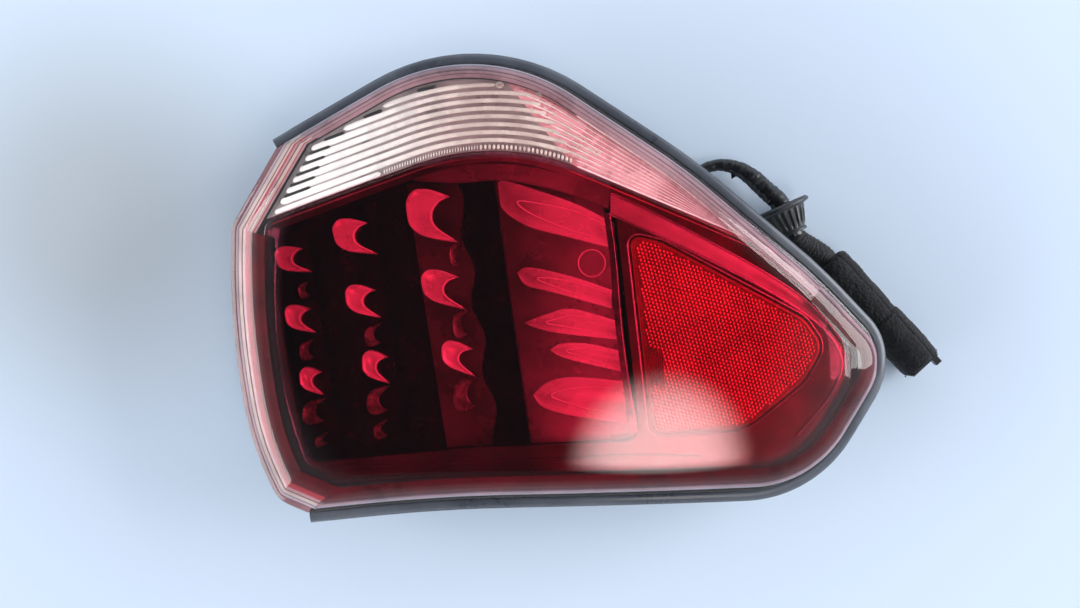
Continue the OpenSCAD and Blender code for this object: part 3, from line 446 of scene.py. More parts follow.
spots = np.concatenate([np.linspace(0.2, 3, 10), np.arange(3.5, 47.5, 0.62), np.arange(47.8, 51, 0.3),
                        np.arange(51.5, 84.5, 0.62), np.linspace(84.8, 85.9, 4)])
around = angles(felt_sides)
seam = -0.9 * np.exp(-((around - 1.0) / 0.05) ** 2)
rings = []
for along, radius in zip(spots, np.interp(spots, *np.array(felt_profile).T)):
    tuft = np.array([noise.noise(Vector(p) * 0.75) * 0.42 + noise.noise(Vector(p) * 0.12) * 0.7
                     for p in ring_at(along, around, radius)])
    rings.append(ring_at(along, around, np.minimum(radius - 0.5 + tuft + seam, felt_limit)))
rings.append(box_ring(86, 22.4, 17.4, 6, felt_sides))
rings += [box_ring(along, mouth_width, mouth_height, 12, felt_sides) for along in (85.6, 70)]
sleeve = new_piece("felt_sleeve", turned_flat(np.vstack(rings), wrap_angle, wrap_spot),
                   grid_faces(len(rings), felt_sides, wrap_columns=True), felt, "felt_wrap", smooth=70)
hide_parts("connector_wrap")

# Tufts of black fibre hang loose where the sleeve's felt was cut, all round its open end.
rng = np.random.default_rng(7)
tuft_count, tuft_base = 70, (85.4, 11.6)
tufts = []
for k in range(tuft_count):
    a = rng.uniform(0, 2 * np.pi)
    reach = tuft_base[1] + rng.uniform(-0.6, 1.2)
    base = np.array((tuft_base[0], math.cos(a) * reach, math.sin(a) * reach))
    aim = np.array((rng.uniform(0.4, 1.6), rng.uniform(-1, 1), rng.uniform(-1, 1)))
    side = np.cross(aim, (0.3, 0.5, 0.8))
    side *= rng.uniform(0.15, 0.4) / np.linalg.norm(side)
    tufts += [base - side, base + side, base + aim * 0.6 + side * 0.8, base + aim, base + aim * 0.6 - side * 0.8]
new_piece("felt_tufts", turned_flat(tufts, wrap_angle, wrap_spot),
          [tuple(range(5 * k, 5 * k + 5)) for k in range(tuft_count)], felt, "felt_wrap", smooth=10)

# The connector: a glass-filled plastic shell with a latch lug, brass pins in two rows, and a pale
# seal plate behind them that shows in its open mouth, with a soft lip round it.
plug_end, plug_depth = 87.5, 17
rim_sides = 48
rim_rings = ((16.3, 11.3, 0), (16.3, 11.3, -3), (17.2, 12.2, -0.4), (17.2, 12.2, 0.1))  # width, height, place
connector_plastic = marked_finish("connector_plastic", (0.012, 0.013, 0.016), (0.025, 0.027, 0.03), (0.35, 0.5),
                                  (2200, 0.02), cloud_scale=120)
terminal_brass = marked_finish("terminal_brass", (0.62, 0.42, 0.14), (0.8, 0.6, 0.25), (0.18, 0.32), (3000, 0.01),
                               cloud_scale=300, metallic=1.0)
plate_plastic = marked_finish("seal_plate_plastic", (0.6, 0.62, 0.64), (0.85, 0.86, 0.87), (0.35, 0.5), (2000, 0.02),
                              cloud_scale=200)


def refinish(finish, slot, *names):
    """Gives solids that stay as they are their finish."""
    for name in names:
        solid = nodes[name]
        solid.data.materials.clear()
        solid.data.materials.append(finish)


refinish(connector_plastic, "connector_plastic", "connector_housing")
refinish(terminal_brass, "terminal_brass", "connector_terminals")


def box_points(low, high):
    (a, b, c), (d, e, f) = low, high
    return [(a, b, c), (d, b, c), (d, e, c), (a, e, c), (a, b, f), (d, b, f), (d, e, f), (a, e, f)]


box_faces = [(0, 3, 2, 1), (4, 5, 6, 7), (0, 1, 5, 4), (1, 2, 6, 5), (2, 3, 7, 6), (3, 0, 4, 7)]


def bevelled(piece, width):
    """Rounds the edges of a piece by width in millimetres, as a mould or a press leaves them."""
    bm = bmesh.new()
    bm.from_mesh(piece.data)
    sharp = [e for e in bm.edges if len(e.link_faces) == 2 and e.calc_face_angle() > math.radians(40)]
    bmesh.ops.bevel(bm, geom=sharp, offset=width / 1000, segments=2, affect="EDGES", profile=0.6)
    bm.to_mesh(piece.data)
    bm.free()
    piece.data.shade_smooth()
    piece.data.set_sharp_from_angle(angle=math.radians(50))


seal_plate = new_piece("seal_plate", turned_flat(
    box_points((plug_end - plug_depth + 0.2, -8.1, -5.6), (plug_end - plug_depth + 2.6, 8.1, 5.6)),
    wrap_angle, wrap_spot), box_faces, plate_plastic, "emitter", smooth=20)
bevelled(seal_plate, 0.5)
rings = [box_ring(plug_end - 0.3 + at, wide, high, 10, rim_sides) for wide, high, at in rim_rings]
mouth_rim = new_piece("mouth_seal_lip", turned_flat(np.vstack(rings), wrap_angle, wrap_spot),
                      grid_faces(len(rings), rim_sides, wrap_rows=True, wrap_columns=True),
                      plate_plastic, "emitter", smooth=50)

# The housing is one dark moulded tub with a flange along the edges that meet the body. The flange
# has a soft lip, moulded on, which hides the gap to the body panel. The lip follows the outline of
# the lens, whose last five edges wrap round the side of the car.
lens_corners = [  # place, radius
    (-169, 83, 2), (-48, 151.6, 111), (73, 72, 353), (151, 8, 357), (189, -30, 28), (189.5, -53, 38),
    (149, -119, 70), (-71, -123.5, 885), (-150.5, -133.3, 2), (-168.5, -126, 18), (-185, -90.5, 180),
    (-196.5, -16, 478), (-195.5, 37.5, 15),
]
first_wrapped = 8
side_lean = 1.75
rim_height, rim_radius, rim_crown = 62, 1000, (-13, 0)
dome_height, dome_radius, dome_crown = 106, 750, (-23, 0)
# Distance outside the lens outline and lift above the rim.
lip_section = [(0.35, -0.3), (0.45, 0.35), (1.0, 0.75), (2.2, 0.95), (4.4, 0.9), (5.6, 0.55), (6.4, -0.1),
               (6.75, -1.0), (6.75, -3.6), (6.1, -4.4), (3.4, -4.55), (3.2, -3.9)]
lip_start, lip_end = (-168, 83.4), (-149, -132.8)


def ball_height(p, height, radius, crown):
    p = np.asarray(p, float)
    return height - radius + np.sqrt(radius ** 2 - (p[..., 0] - crown[0]) ** 2 - (p[..., 1] - crown[1]) ** 2)


def rim_at(p):
    return ball_height(p, rim_height, rim_radius, rim_crown)


def dome_at(p):
    return ball_height(p, dome_height, dome_radius, dome_crown)


def heading(corners, i):
    way = np.subtract(corners[(i + 1) % len(corners)][:2], corners[i % len(corners)][:2])
    return way / np.linalg.norm(way)


def left_of(way):
    return np.array((-way[1], way[0]))


def bend(a, b):
    return math.atan2(a[0] * b[1] - a[1] * b[0], a @ b)


def moved(corners, out):
    """Each edge of a clockwise outline moved outwards by its own distance."""
    found = []
    for i, (x, y, radius) in enumerate(corners):
        before, after = left_of(heading(corners, i - 1)), left_of(heading(corners, i))
        a, b = out[i - 1], out[i]
        area = before[0] * after[1] - before[1] * after[0]
        shift = np.array((a * after[1] - b * before[1], b * before[0] - a * after[0])) / area
        found.append((x + shift[0], y + shift[1], max(radius - np.sign(area) * (a + b) / 2, 0.5)))
    return found


def steps_of(corners, fineness):
    """How many steps the arc at each corner takes."""
    return [max(4, math.ceil(math.degrees(abs(bend(heading(corners, i - 1), heading(corners, i))))
                             * math.sqrt(corners[i][2]) / fineness)) for i in range(len(corners))]


def splits_of(corners, gap):
    """How many points lie on the straight stretch after each corner."""
    return [int(np.linalg.norm(np.subtract(corners[(i + 1) % len(corners)][:2], corners[i][:2])) / gap)
            for i in range(len(corners))]


def outline(corners, steps, splits):
    """Points of a closed outline with its arcs, and its straight stretches split."""
    found, arcs, n = [], [], len(corners)
    for i, (*corner, radius) in enumerate(corners):
        start = heading(corners, i - 1)
        angle = bend(start, heading(corners, i))
        side = math.copysign(1, angle) * left_of(start)
        centre = np.array(corner) - start * radius * math.tan(abs(angle) / 2) + side * radius
        a = angle * np.arange(steps[i] + 1) / steps[i]
        arcs.append(centre - radius * np.column_stack([side[0] * np.cos(a) - side[1] * np.sin(a),
                                                       side[0] * np.sin(a) + side[1] * np.cos(a)]))
    for i in range(n):
        last, first = arcs[i][-1], arcs[(i + 1) % n][0]
        share = (np.arange(splits[i]) + 1)[:, None] / (splits[i] + 1)
        found += [arcs[i], last + (first - last) * share]
    return np.vstack(found)


lens_steps, lens_splits = steps_of(lens_corners, 16), splits_of(lens_corners, 9)


def lens_line(width=0, extra=0):
    """The lens outline moved inwards by width, more where it wraps round, and by extra all round."""
    out = [-width * (side_lean if i >= first_wrapped else 1) - extra for i in range(len(lens_corners))]
    return outline(moved(lens_corners, out), lens_steps, lens_splits)


def stretch(line, start, end):
    """The part of a closed line that runs clockwise from the point nearest start to that nearest end."""
    a, b = (int(np.argmin(np.linalg.norm(line - np.array(p), axis=1))) for p in (start, end))
    return line[a : b + 1] if b >= a else np.vstack([line[a:], line[: b + 1]])


def resampled(line, at):
    run = run_along(line)
    return np.column_stack([np.interp(at, run, line[:, 0]), np.interp(at, run, line[:, 1])])


def evenly(line, gap, closed=False):
    """A flat line resampled with points about gap apart."""
    line = np.vstack([line, line[:1]]) if closed else np.asarray(line, float)
    length = run_along(line)[-1]
    count = max(3, int(length / gap))
    return resampled(line, np.linspace(0, length, count + 1)[: count if closed else None])


def ribbon(line, section, height, closed=False, ends=0.0, swell=None):
    """A strip swept along a flat line. section holds (distance to the left of the line, lift above
    height) pairs. ends rounds both ends over that length; swell scales the section along the line."""
    line = np.asarray(line, float)
    way = np.roll(line, -1, axis=0) - np.roll(line, 1, axis=0) if closed else np.gradient(line, axis=0)
    way /= np.linalg.norm(way, axis=1)[:, None]
    side = np.column_stack([-way[:, 1], way[:, 0]])
    size = np.ones(len(line)) if swell is None else np.asarray(swell, float)
    if ends:
        run = run_along(line)
        near = np.clip(np.minimum(run, run[-1] - run) / ends, 0, 1)
        size = size * np.sqrt(np.clip(1 - (1 - near) ** 2, 0.0004, 1))
    rows = []
    for out, lift in section:
        p = line + side * (out * size)[:, None]
        rows.append(np.column_stack([p, height(p) + lift * size]))
    return np.vstack(rows), grid_faces(len(section), len(line), wrap_columns=closed)


housing_plastic = marked_finish("housing_plastic", (0.030, 0.035, 0.045), (0.052, 0.058, 0.072), (0.38, 0.52),
                                (1600, 0.04), cloud_scale=30, dust=0.25)
lip_rubber = marked_finish("lip_rubber", (0.06, 0.069, 0.09), (0.1, 0.114, 0.142), (0.26, 0.42), (900, 0.03),
                           cloud_scale=26, dust=0.2, coat=0.25)
refinish(housing_plastic, "housing_plastic", "housing")
flange_line = evenly(stretch(lens_line(), lip_start, lip_end), 2.2)
new_piece("flange_lip", *ribbon(flange_line, lip_section, rim_at), lip_rubber, "housing_plastic", smooth=60)

# Behind the housing: threaded steel studs cast into bosses, foam rings that seal them to the body,
# two bulb holders on rubber rings, vent caps and the board connector.
stud_spots = {"upper": (-55, 106), "lower": (-104, -84), "outer": (122, -34)}
stud_sides, stud_radius, thread_pitch, thread_depth, thread_top = 28, 3, 1.0, 0.52, 20.01
shank_rings = ((4.4, 20.02), (4.4, 26))
stud_steel = marked_finish("stud_steel", (0.42, 0.41, 0.36), (0.62, 0.61, 0.56), (0.25, 0.45), (2500, 0.01),
                           cloud_scale=250, metallic=1.0)
gasket_foam = woven_finish("gasket_foam", (0.006, 0.006, 0.007), (0.035, 0.035, 0.037), 1500, 0.3, 0.95, 0.0)
around = angles(stud_sides)
for name, (x, y) in stud_spots.items():
    rings = []
    for z in np.arange(0.0, thread_top, thread_pitch / 8):
        flank = np.abs((z / thread_pitch + around / (2 * np.pi)) % 1.0 - 0.5) * 2
        taper = min(1, 0.72 + 0.28 * z / 1.5)
        rings.append(((stud_radius - thread_depth * np.clip(flank * 1.3 - 0.15, 0, 1)) * taper, z))
    rings = [np.column_stack([x + r * np.cos(around), y + r * np.sin(around), np.full(stud_sides, z)])
             for r, z in (*rings, *shank_rings)]
    faces = grid_faces(len(rings), stud_sides, wrap_columns=True)
    faces.append(tuple(range(stud_sides - 1, -1, -1)))
    piece = new_piece("stud_thread_" + name, np.vstack(rings), faces, stud_steel, "stud_steel", smooth=35)
    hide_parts("stud_" + name)
    refinish(gasket_foam, "gasket_foam", "stud_gasket_" + name)

holder_plastic = marked_finish("holder_plastic", (0.035, 0.038, 0.044), (0.06, 0.064, 0.07), (0.4, 0.55),
                               (1900, 0.04), cloud_scale=70, dust=0.15)
ring_rubber = marked_finish("ring_rubber", (0.012, 0.012, 0.013), (0.03, 0.03, 0.032), (0.45, 0.6), (1500, 0.03),
                            cloud_scale=120)
refinish(holder_plastic, "holder_plastic", "turn_holder", "reverse_holder", "led_connector", "lead_clips",
         "harness_clip")
refinish(ring_rubber, "gasket_foam", "turn_holder_seal", "reverse_holder_seal")
refinish(ring_rubber, "vent_rubber", "vent_cap_1", "vent_cap_2")
refinish(cable_tape, "lead_black", "turn_lead", "reverse_lead", "led_lead")

# Grip ribs round the cap of each bulb holder, of its own plastic and moulded with it, so that it can
# be turned by hand.
holder_spots = {"turn": (-95, 88), "reverse": (-15, 96)}
grip_count, cap_height = 24, 9


def joined(parts):
    """The points and faces of several meshes as those of one."""
    points, faces, count = [], [], 0
    for part_points, part_faces in parts:
        faces += [tuple(i + count for i in face) for face in part_faces]
        points.append(part_points)
        count += len(part_points)
    return np.vstack(points), faces


for name, (x, y) in holder_spots.items():
    cap_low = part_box(name + "_holder")[0].z * 1000 + cap_height
    grip = box_points((16.4, -0.7, cap_low + 0.3), (17.6, 0.7, cap_low + 3.7))
    grips = new_piece(name + "_holder_grips", *joined(
        (turned_flat(grip, k * 2 * math.pi / grip_count, (x, y, 0)), box_faces) for k in range(grip_count)),
        holder_plastic, "holder_plastic", smooth=20)
    bevelled(grips, 0.3)

# The bezel is a black, lacquered moulding screwed to the housing. Its openings frame the light
# emitters, the strip and the reflex reflector, and polished beads run along its steps.
# Its colour turns a lighter pink towards the right, a painted glare.
bezel_lacquer_and_glare = marked_finish("bezel_lacquer_and_glare", (0.04, 0.034, 0.036), (0.08, 0.066, 0.07), (0.12, 0.24),
                              (1200, 0.008), cloud_scale=50, metallic=0.6,
                              right=((0.14, 0.035, 0.045), (0.26, 0.08, 0.09), -0.04, 0.09))
bead_chrome = marked_finish("bead_chrome", (0.72, 0.7, 0.72), (0.86, 0.84, 0.86), (0.12, 0.25), (1500, 0.006),
                            cloud_scale=80, metallic=1.0)
band_satin = marked_finish("band_satin", (0.5, 0.44, 0.45), (0.75, 0.68, 0.7), (0.28, 0.42), (900, 0.02),
                           cloud_scale=35, metallic=0.4)
refinish(bezel_lacquer_and_glare, "bezel_black", "inner_bezel")
bezel_drop, sheet_points = 9.05, 80
ridge_outer = [(27, 52.8), (52, 41.5), (80, 27.5), (112, 10.5), (136, -4.5), (152, -19), (162, -32)]
ridge_inner = [(27, 41), (65, 24), (105.4, 4.4), (132, -10.5), (150, -23.6), (159, -36), (160.5, -47), (153, -63),
               (133.5, -85.2)]
ledge_low = [(-130, -101), (-101.7, -100), (-34.5, -97.5), (10.3, -94.6), (43.9, -93.5), (80, -95)]


def below_dome(drop):
    return lambda p: dome_at(p) - drop


def under_dome(p, drop):
    """Flat points put drop below the lens's face."""
    return np.column_stack([p, dome_at(p) - drop])


def through(points, gap=2.0):
    """A smooth flat line through points."""
    return evenly(smooth_path([(x, y, 0) for x, y in points], gap / 2)[:, :2], gap)


def bead_section(width, height):
    return [(width / 2 * math.cos(a), height * math.sin(a)) for a in np.linspace(0, math.pi, 9)]


def thinned(points):
    line = through(points, 1)
    return line[np.linspace(0, len(line) - 1, sheet_points).astype(int)]


def sheet(first, second, rows):
    """A sheet between two flat lines. A row holds its share of the way across and its drop."""
    return (np.vstack([under_dome(first + (second - first) * share, drop) for share, drop in rows]),
            grid_faces(len(rows), len(first)))


for name, line, width, height, finish in (("ridge_outer", ridge_outer, 1.6, 1.1, bead_chrome),
                                          ("ridge_inner", ridge_inner, 1.8, 1.2, bead_chrome),
                                          ("ledge_bead", ledge_low, 1.4, 0.8, bezel_lacquer_and_glare)):
    new_piece(name, *ribbon(through(line), bead_section(width, height), below_dome(bezel_drop), ends=2),
              finish, "chrome", smooth=60)
band_rows = [(share, 8.95 - 0.7 * math.sin(math.pi * share)) for share in np.linspace(0.06, 0.94, 9)]
new_piece("ridge_band", *sheet(thinned(ridge_inner[:5]), thinned(ridge_outer[:6]), band_rows), band_satin, "chrome",
          smooth=60)

# A smooth brow of the bezel, moulded and lacquered with it, hangs over the upper end of the pocket
# and hides the ends of its columns.
brow_top = [(-112, 61.8), (-90, 69.5), (-68, 75.4), (-40, 79.3), (-16, 77), (6, 68.5), (27, 57.5)]
brow_low = [(-110, 60.4), (-92, 61), (-74, 59.4), (-57, 58.6), (-34, 60), (-12, 56.5), (8.6, 51), (26, 44)]
brow_rows = [(0, 9.3), (0, 8.9), (0.1, 8.75), (0.3, 8.8), (0.5, 9.1), (0.7, 9.8), (0.85, 10.8), (0.95, 12),
             (1, 13.4), (0.99, 14.2)]
brow_satin = marked_finish("brow_satin", (0.02, 0.018, 0.018), (0.05, 0.045, 0.045), (0.2, 0.34), (900, 0.015),
                           cloud_scale=30, metallic=0.3, right=((0.12, 0.1, 0.11), (0.26, 0.22, 0.23), -0.095, -0.0))
new_piece("bezel_brow", *sheet(thinned(brow_top), thinned(brow_low), brow_rows), brow_satin, "bezel_black",
          smooth=60)

# The reflector for the light emitters: one metallised moulding. Four columns stand in a deep black
# pocket, and each emitter shines into a claw-shaped scoop on its column.
led_corners = [(-167, 30.5, 6), (-35, 77.98, 122), (29, 51.3, 8), (44, -86, 8), (-46, -89, 300), (-145, -99, 8)]
# Black for the deep pocket, and painted shade where it is given to the first two columns.
pocket_black_and_shade = marked_finish("pocket_black_and_shade", (0.002, 0.002, 0.002), (0.006, 0.005, 0.005), (0.12, 0.3), (1100, 0.02),
                             cloud_scale=60, specular=0.3)
pocket_section = [(2.2, -11.6), (0.35, -11.6), (0.0, -12.4), (-0.3, -18), (-0.8, -24), (-2, -25.2)]
floor_drop = 25.4


def closed_line(corners, gap=2.0):
    return evenly(outline(corners, steps_of(corners, 20), splits_of(corners, 8)), gap, closed=True)


def shrunk(line, middle, shares, drop):
    """Rings that draw a line in towards its middle."""
    return [under_dome(middle + (line - middle) * share, drop) for share in shares]


def bowl(line, section, shares, drop, middle=None):
    """A strip swept round a closed line, with its inner edge filled at a drop below the lens's face."""
    count = len(line)
    points = ribbon(line, section, dome_at, closed=True)[0]
    edge = points[-count:, :2]
    points = np.vstack([points, *shrunk(edge, edge.mean(axis=0) if middle is None else middle, shares, drop)])
    faces = grid_faces(len(section) + len(shares), count, wrap_columns=True)
    return points, [*faces, tuple(range(len(points) - count, len(points)))]


pocket = closed_line(led_corners, 1.6)
pocket_piece = new_piece("pocket", *bowl(pocket, pocket_section, (0.85, 0.65, 0.45, 0.25, 0.08), floor_drop,
                                         pocket.mean(axis=0)), pocket_black_and_shade, "bezel_black", smooth=60)
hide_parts("led_reflector")

# The columns are moulded and metallised with the pocket. The first two take the pocket's black as
# painted shade, and the right edge of the third one is scalloped. The third and fourth are painted
# dark, turning lighter towards the right as a painted reflection.
# Dark at the left and lighter towards the right: a painted reflection on the metallised face.
column_painted_reflection = marked_finish("column_painted_reflection", (0.025, 0.02, 0.02), (0.1, 0.085, 0.09), (0.2, 0.36), (900, 0.012),
                             cloud_scale=22, metallic=0.4,
                             right=((0.4, 0.36, 0.37), (0.72, 0.67, 0.68), -0.03, 0.034))
# Ends of the middle line, how far each reaches left and right of it, scallop depth, drop of the
# face below the lens at its left and right edge, and its finish.
columns = [
    ((-154, 17), (-138, -86), 8.2, 11, 0.0, 20.4, 20.4, pocket_black_and_shade),
    ((-116, 30), (-102, -80), 11, 12, 0.0, 19.6, 19.6, pocket_black_and_shade),
    ((-71, 43), (-53, -74), 14, 14, 2.4, 18.4, 19, column_painted_reflection),
    ((-3, 40), (11, -60), 31, 27, 0.0, 17.8, 18.2, column_painted_reflection),
]
column_points, column_foot = 120, 25.3


def reach_of(line, spot, way):
    """How far a closed line is from spot, backwards and forwards along way."""
    a, b = line, np.roll(line, -1, axis=0)
    side = left_of(way)
    da, db = (a - spot) @ side, (b - spot) @ side
    cut = (da > 0) != (db > 0)
    t = da[cut] / (da[cut] - db[cut])
    along = (a[cut] + (b[cut] - a[cut]) * t[:, None] - spot) @ way
    return along.min(), along.max()


for k, (top, low, left, right, scallop, drop_left, drop_right, finish) in enumerate(columns):
    top, low = np.array(top, float), np.array(low, float)
    length = np.linalg.norm(low - top)
    way = (low - top) / length
    across = left_of(way)
    rows = []
    for s in (-0.02, 0, *np.linspace(0.03, 0.97, 15), 1, 1.02):
        u, on_face = -left + (left + right) * s, np.clip(s, 0, 1)
        start, end = reach_of(pocket, top + across * u, way)
        v = np.linspace(start + 0.6, end - 0.6, column_points)
        wave = scallop * np.clip(s * 1.4 - 0.4, 0, 1) * np.cos((v / (length / 3) + 0.12) * 2 * np.pi)
        drop = drop_left + (drop_right - drop_left) * on_face ** 2 + 0.4 * math.sin(math.pi * on_face)
        p = top + way * v[:, None] + across * (u + wave)[:, None]
        rows.append(under_dome(p, drop if s == on_face else column_foot))
    new_piece(f"column_{k + 1}", np.vstack(rows), grid_faces(len(rows), column_points), finish, "chrome", smooth=50)

# The claws are scoops, moulded and metallised with the first three columns. The bright ones are
# painted pale as painted light, each with a thin near-white bead along its inner edge as a painted
# highlight, and the dim ones lie deeper and are painted dark as painted shade.
# In units of half width and height: the outer edge from the upper horn round the left side to the
# lower tip, and the inner edge round the emitter's opening.
claw_outer = [(0.47, 0.8), (0.1, 0.9), (-0.35, 0.97), (-0.8, 0.85), (-1, 0.4), (-0.93, -0.1), (-0.75, -0.6),
              (-0.35, -0.9), (0.1, -0.98), (0.55, -1), (1, -1)]
claw_inner = [(0.47, 0.8), (0.25, 0.66), (0.08, 0.45), (-0.04, 0.1), (0, -0.25), (0.17, -0.5), (0.45, -0.7),
              (0.75, -0.87), (1, -1)]
bright_claws = [  # middle, half width, half height, slant in degrees
    (-152.7, 16.7, 10.8, 7.2, 0), (-147.9, -16.9, 9.4, 6.9, -8), (-141.5, -52.2, 7.6, 6.4, -14),
    (-116.3, 29.6, 13, 9.4, -4), (-111.3, -6.8, 10.9, 8, -10), (-104, -43.8, 8.9, 7.5, -16),
    (-72, 41.5, 15.8, 13.6, -8), (-65.4, 0, 13.9, 9.2, -12), (-57, -38.7, 11.1, 7.6, -18),
]
dim_claws = [
    (-146, -1.2, 3.6, 4, 20), (-144.3, -35.4, 4.8, 5, 14), (-140.4, -70.7, 7.7, 6.8, 10), (-136.5, -87, 4.4, 3, 20),
    (-106, -27, 5.4, 5.4, 16), (-102.9, -63.9, 7.7, 7.2, 12), (-101.8, -80.7, 4.9, 4.2, 24),
    (-59.5, 18.4, 3.4, 6, 10), (-56.4, -20.8, 4.8, 7, 10), (-53, -60, 8.2, 8.9, 8),
]
claw_points, claw_foot = 56, 21
bright_top, bright_depth, dim_top, dim_depth = 14.0, 2.8, 16.4, 1.5
# The pale scoop colour is painted light and the dim one painted shade, on one metallised moulding.
scoop_painted_light = marked_finish("scoop_painted_light", (0.72, 0.7, 0.71), (0.95, 0.93, 0.94), (0.24, 0.34), (1300, 0.006),
                           cloud_scale=60, metallic=0.45)
# A near-white colour for thin beads and lips: a painted highlight.
lip_painted_highlight = marked_finish("lip_painted_highlight", (0.88, 0.86, 0.87), (0.97, 0.96, 0.97), (0.3, 0.4), (1300, 0.006))
scoop_painted_shade = marked_finish("scoop_painted_shade", (0.07, 0.06, 0.06), (0.2, 0.18, 0.18), (0.2, 0.36), (900, 0.012),
                          cloud_scale=130, metallic=0.5)


def curve(points, count):
    line = smooth_path([(x, y, 0) for x, y in points], 0.02)[:, :2]
    return resampled(line, np.linspace(0, run_along(line)[-1], count))


def claw(x, y, half_wide, half_high, slant, top, depth, flip=1):
    """Rows of a scoop's face, from its raised outer edge to the lower rim of its opening."""
    outer, inner = curve(claw_outer, claw_points), curve(claw_inner, claw_points)
    c, s = math.cos(math.radians(slant)), math.sin(math.radians(slant))
    rows = []
    for share, drop, push in ((0, claw_foot, 0.5), (0, top + 0.5, 0.25), (0, top, 0), (0.05, top + 0.1, 0),
                              *[(t, top + depth * (1 - (1 - t) ** 2), 0) for t in np.linspace(0.12, 0.9, 9)],
                              (0.95, top + depth - 0.35, 0), (1, top + depth - 0.1, 0), (1, claw_foot, -0.3)):
        p = (outer + (inner - outer) * share) * (half_wide, half_high * flip)
        p = np.column_stack([p[:, 0] * c - p[:, 1] * s, p[:, 0] * s + p[:, 1] * c])
        rows.append(under_dome((x, y) + p * (1 + push / half_wide), drop))
    return rows


bright = [claw(*sizes, bright_top, bright_depth) for sizes in bright_claws]
dim = [claw(*sizes, dim_top, dim_depth, flip=-1) for sizes in dim_claws]
for name, scoops, finish in (("scoops_painted_light", bright, scoop_painted_light), ("scoops_painted_shade", dim, scoop_painted_shade)):
    new_piece(name, *joined((np.vstack(rows), grid_faces(len(rows), claw_points)) for rows in scoops),
              finish, "chrome", smooth=50)
edges = [rows[-3][3:-3, :2] for rows in bright]
new_piece("scoop_edges", *joined(ribbon(evenly(edge, 0.7), bead_section(0.75, 0.6), below_dome(16.5), ends=1)
                                 for edge in edges), lip_painted_highlight, "chrome", smooth=60)

# The long scoops of the fourth column are moulded and metallised with it. They run from a pointed
# left tip to the wall, and a pointed lip, near-white as a painted highlight, is nested in each. Their
# colour turns near-white towards the right, a painted highlight.
leaves = [  # upper and lower edge
    ([(-34.6, 52), (-34, 60), (-12, 54), (10, 46), (29, 36.5)],
     [(-34.6, 52), (-33, 44), (-20, 35), (0, 29.3), (30.5, 22)]),
    ([(-25, 8.5), (-18, 11.4), (5, 6.5), (28, -1)], [(-25, 8.5), (-20, 1.5), (-5, -2.5), (28, -11.5)]),
    ([(-21, -19.5), (-8, -14.5), (6, -11.8), (30, -18)], [(-21, -19.5), (-14, -22.5), (0, -25.5), (32, -29)]),
    ([(-6.8, -34.6), (0, -31.2), (14, -31.2), (32, -35)], [(-6.8, -34.6), (0, -38.6), (14, -42.5), (34, -47)]),
    ([(-16, -60), (-8, -53), (6, -50), (35, -52)], [(-16, -60), (-10, -67), (8, -72), (37, -76)]),
]
leaf_points, lip_tip = 60, 14
leaf_rows = [(0, 21), (0, 13.2), (0.03, 12.9), (0.07, 13.3),
             *[(t, 13.3 + 2.6 * math.sin(math.pi * t) ** 0.8) for t in np.linspace(0.14, 0.86, 11)],
             (0.93, 13.3), (0.97, 12.9), (1, 13.2), (1, 21)]
# Lighter towards the right: a painted highlight.
leaf_satin_and_highlight = marked_finish("leaf_satin_and_highlight", (0.3, 0.27, 0.28), (0.55, 0.52, 0.53), (0.2, 0.32), (1300, 0.008),
                           cloud_scale=36, metallic=0.25,
                           right=((0.86, 0.83, 0.84), (0.98, 0.96, 0.97), -0.03, 0.02))
leaves = [(curve(upper, leaf_points), curve(lower, leaf_points)) for upper, lower in leaves]
new_piece("scoops_long", *joined(sheet(upper, lower, leaf_rows) for upper, lower in leaves), leaf_satin_and_highlight, "chrome",
          smooth=50)
spread = 0.58 * np.sqrt(np.clip((np.arange(leaf_points) - lip_tip) / 26, 0, 1))[:, None]
for k, (upper, lower) in enumerate(leaves):
    middle = (upper + lower) / 2
    above, below = ((middle + (edge - middle) * spread)[lip_tip:] for edge in (upper, lower))
    line = evenly(np.vstack([below[::-1], above])[2:-2], 1.2)
    new_piece(f"scoop_lip_{k + 1}", *ribbon(line, bead_section(0.75, 0.9), below_dome(15.4), ends=1), lip_painted_highlight,
              "chrome", smooth=60)

# A thin curved wall with a ledge, metallised too, closes the fourth column towards the reflex
# reflector. A round mark of the mould's ejector pin stands beside it.
wall_line = through([(27, 42), (30.5, 15), (33.8, -23.6), (38, -55), (43, -84)])
wall_section = [(0.5, -21), (0.5, -10.4), (0.2, -10.1), (-0.2, -10.1), (-0.5, -10.4), (-0.6, -12.6), (-3.6, -12.8),
                (-3.6, -21)]
mark_spot, mark_radius, mark_sides = (17, 13.9), 7.6, 72
new_piece("column_wall", *ribbon(wall_line, wall_section, dome_at), bead_chrome, "chrome", smooth=40)
mark_line = mark_spot + ring_at(0, angles(mark_sides), mark_radius)[:, 1:]
# The ring is coloured near-white as a painted highlight.
new_piece("moulding_mark", *ribbon(mark_line, bead_section(0.8, 0.7), below_dome(18.2), closed=True), lip_painted_highlight,
          "chrome", smooth=60)

# Circuit boards of green lacquered laminate with emitters of clear resin, steel screws that hold them,
# and two glass bulbs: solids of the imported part, each with its own finish.
circuit_board = marked_finish("circuit_board", (0.012, 0.09, 0.035), (0.02, 0.14, 0.06), (0.3, 0.45), (1800, 0.02),
                              cloud_scale=90)
emitter_resin = marked_finish("emitter_resin", (0.7, 0.66, 0.5), (0.85, 0.8, 0.62), (0.25, 0.35), (2500, 0.01),
                              cloud_scale=400)
screw_steel = marked_finish("screw_steel", (0.4, 0.4, 0.4), (0.6, 0.6, 0.6), (0.25, 0.4), (2500, 0.01),
                            cloud_scale=300, metallic=1.0)
refinish(circuit_board, "circuit_board", "led_board_1", "led_board_2", "led_board_3", "led_board_4", "board_jumpers")
refinish(emitter_resin, "emitter", "led_row_1", "led_row_2", "led_row_3", "led_row_4")
refinish(screw_steel, "screw_steel", "board_screws", "bezel_screws")


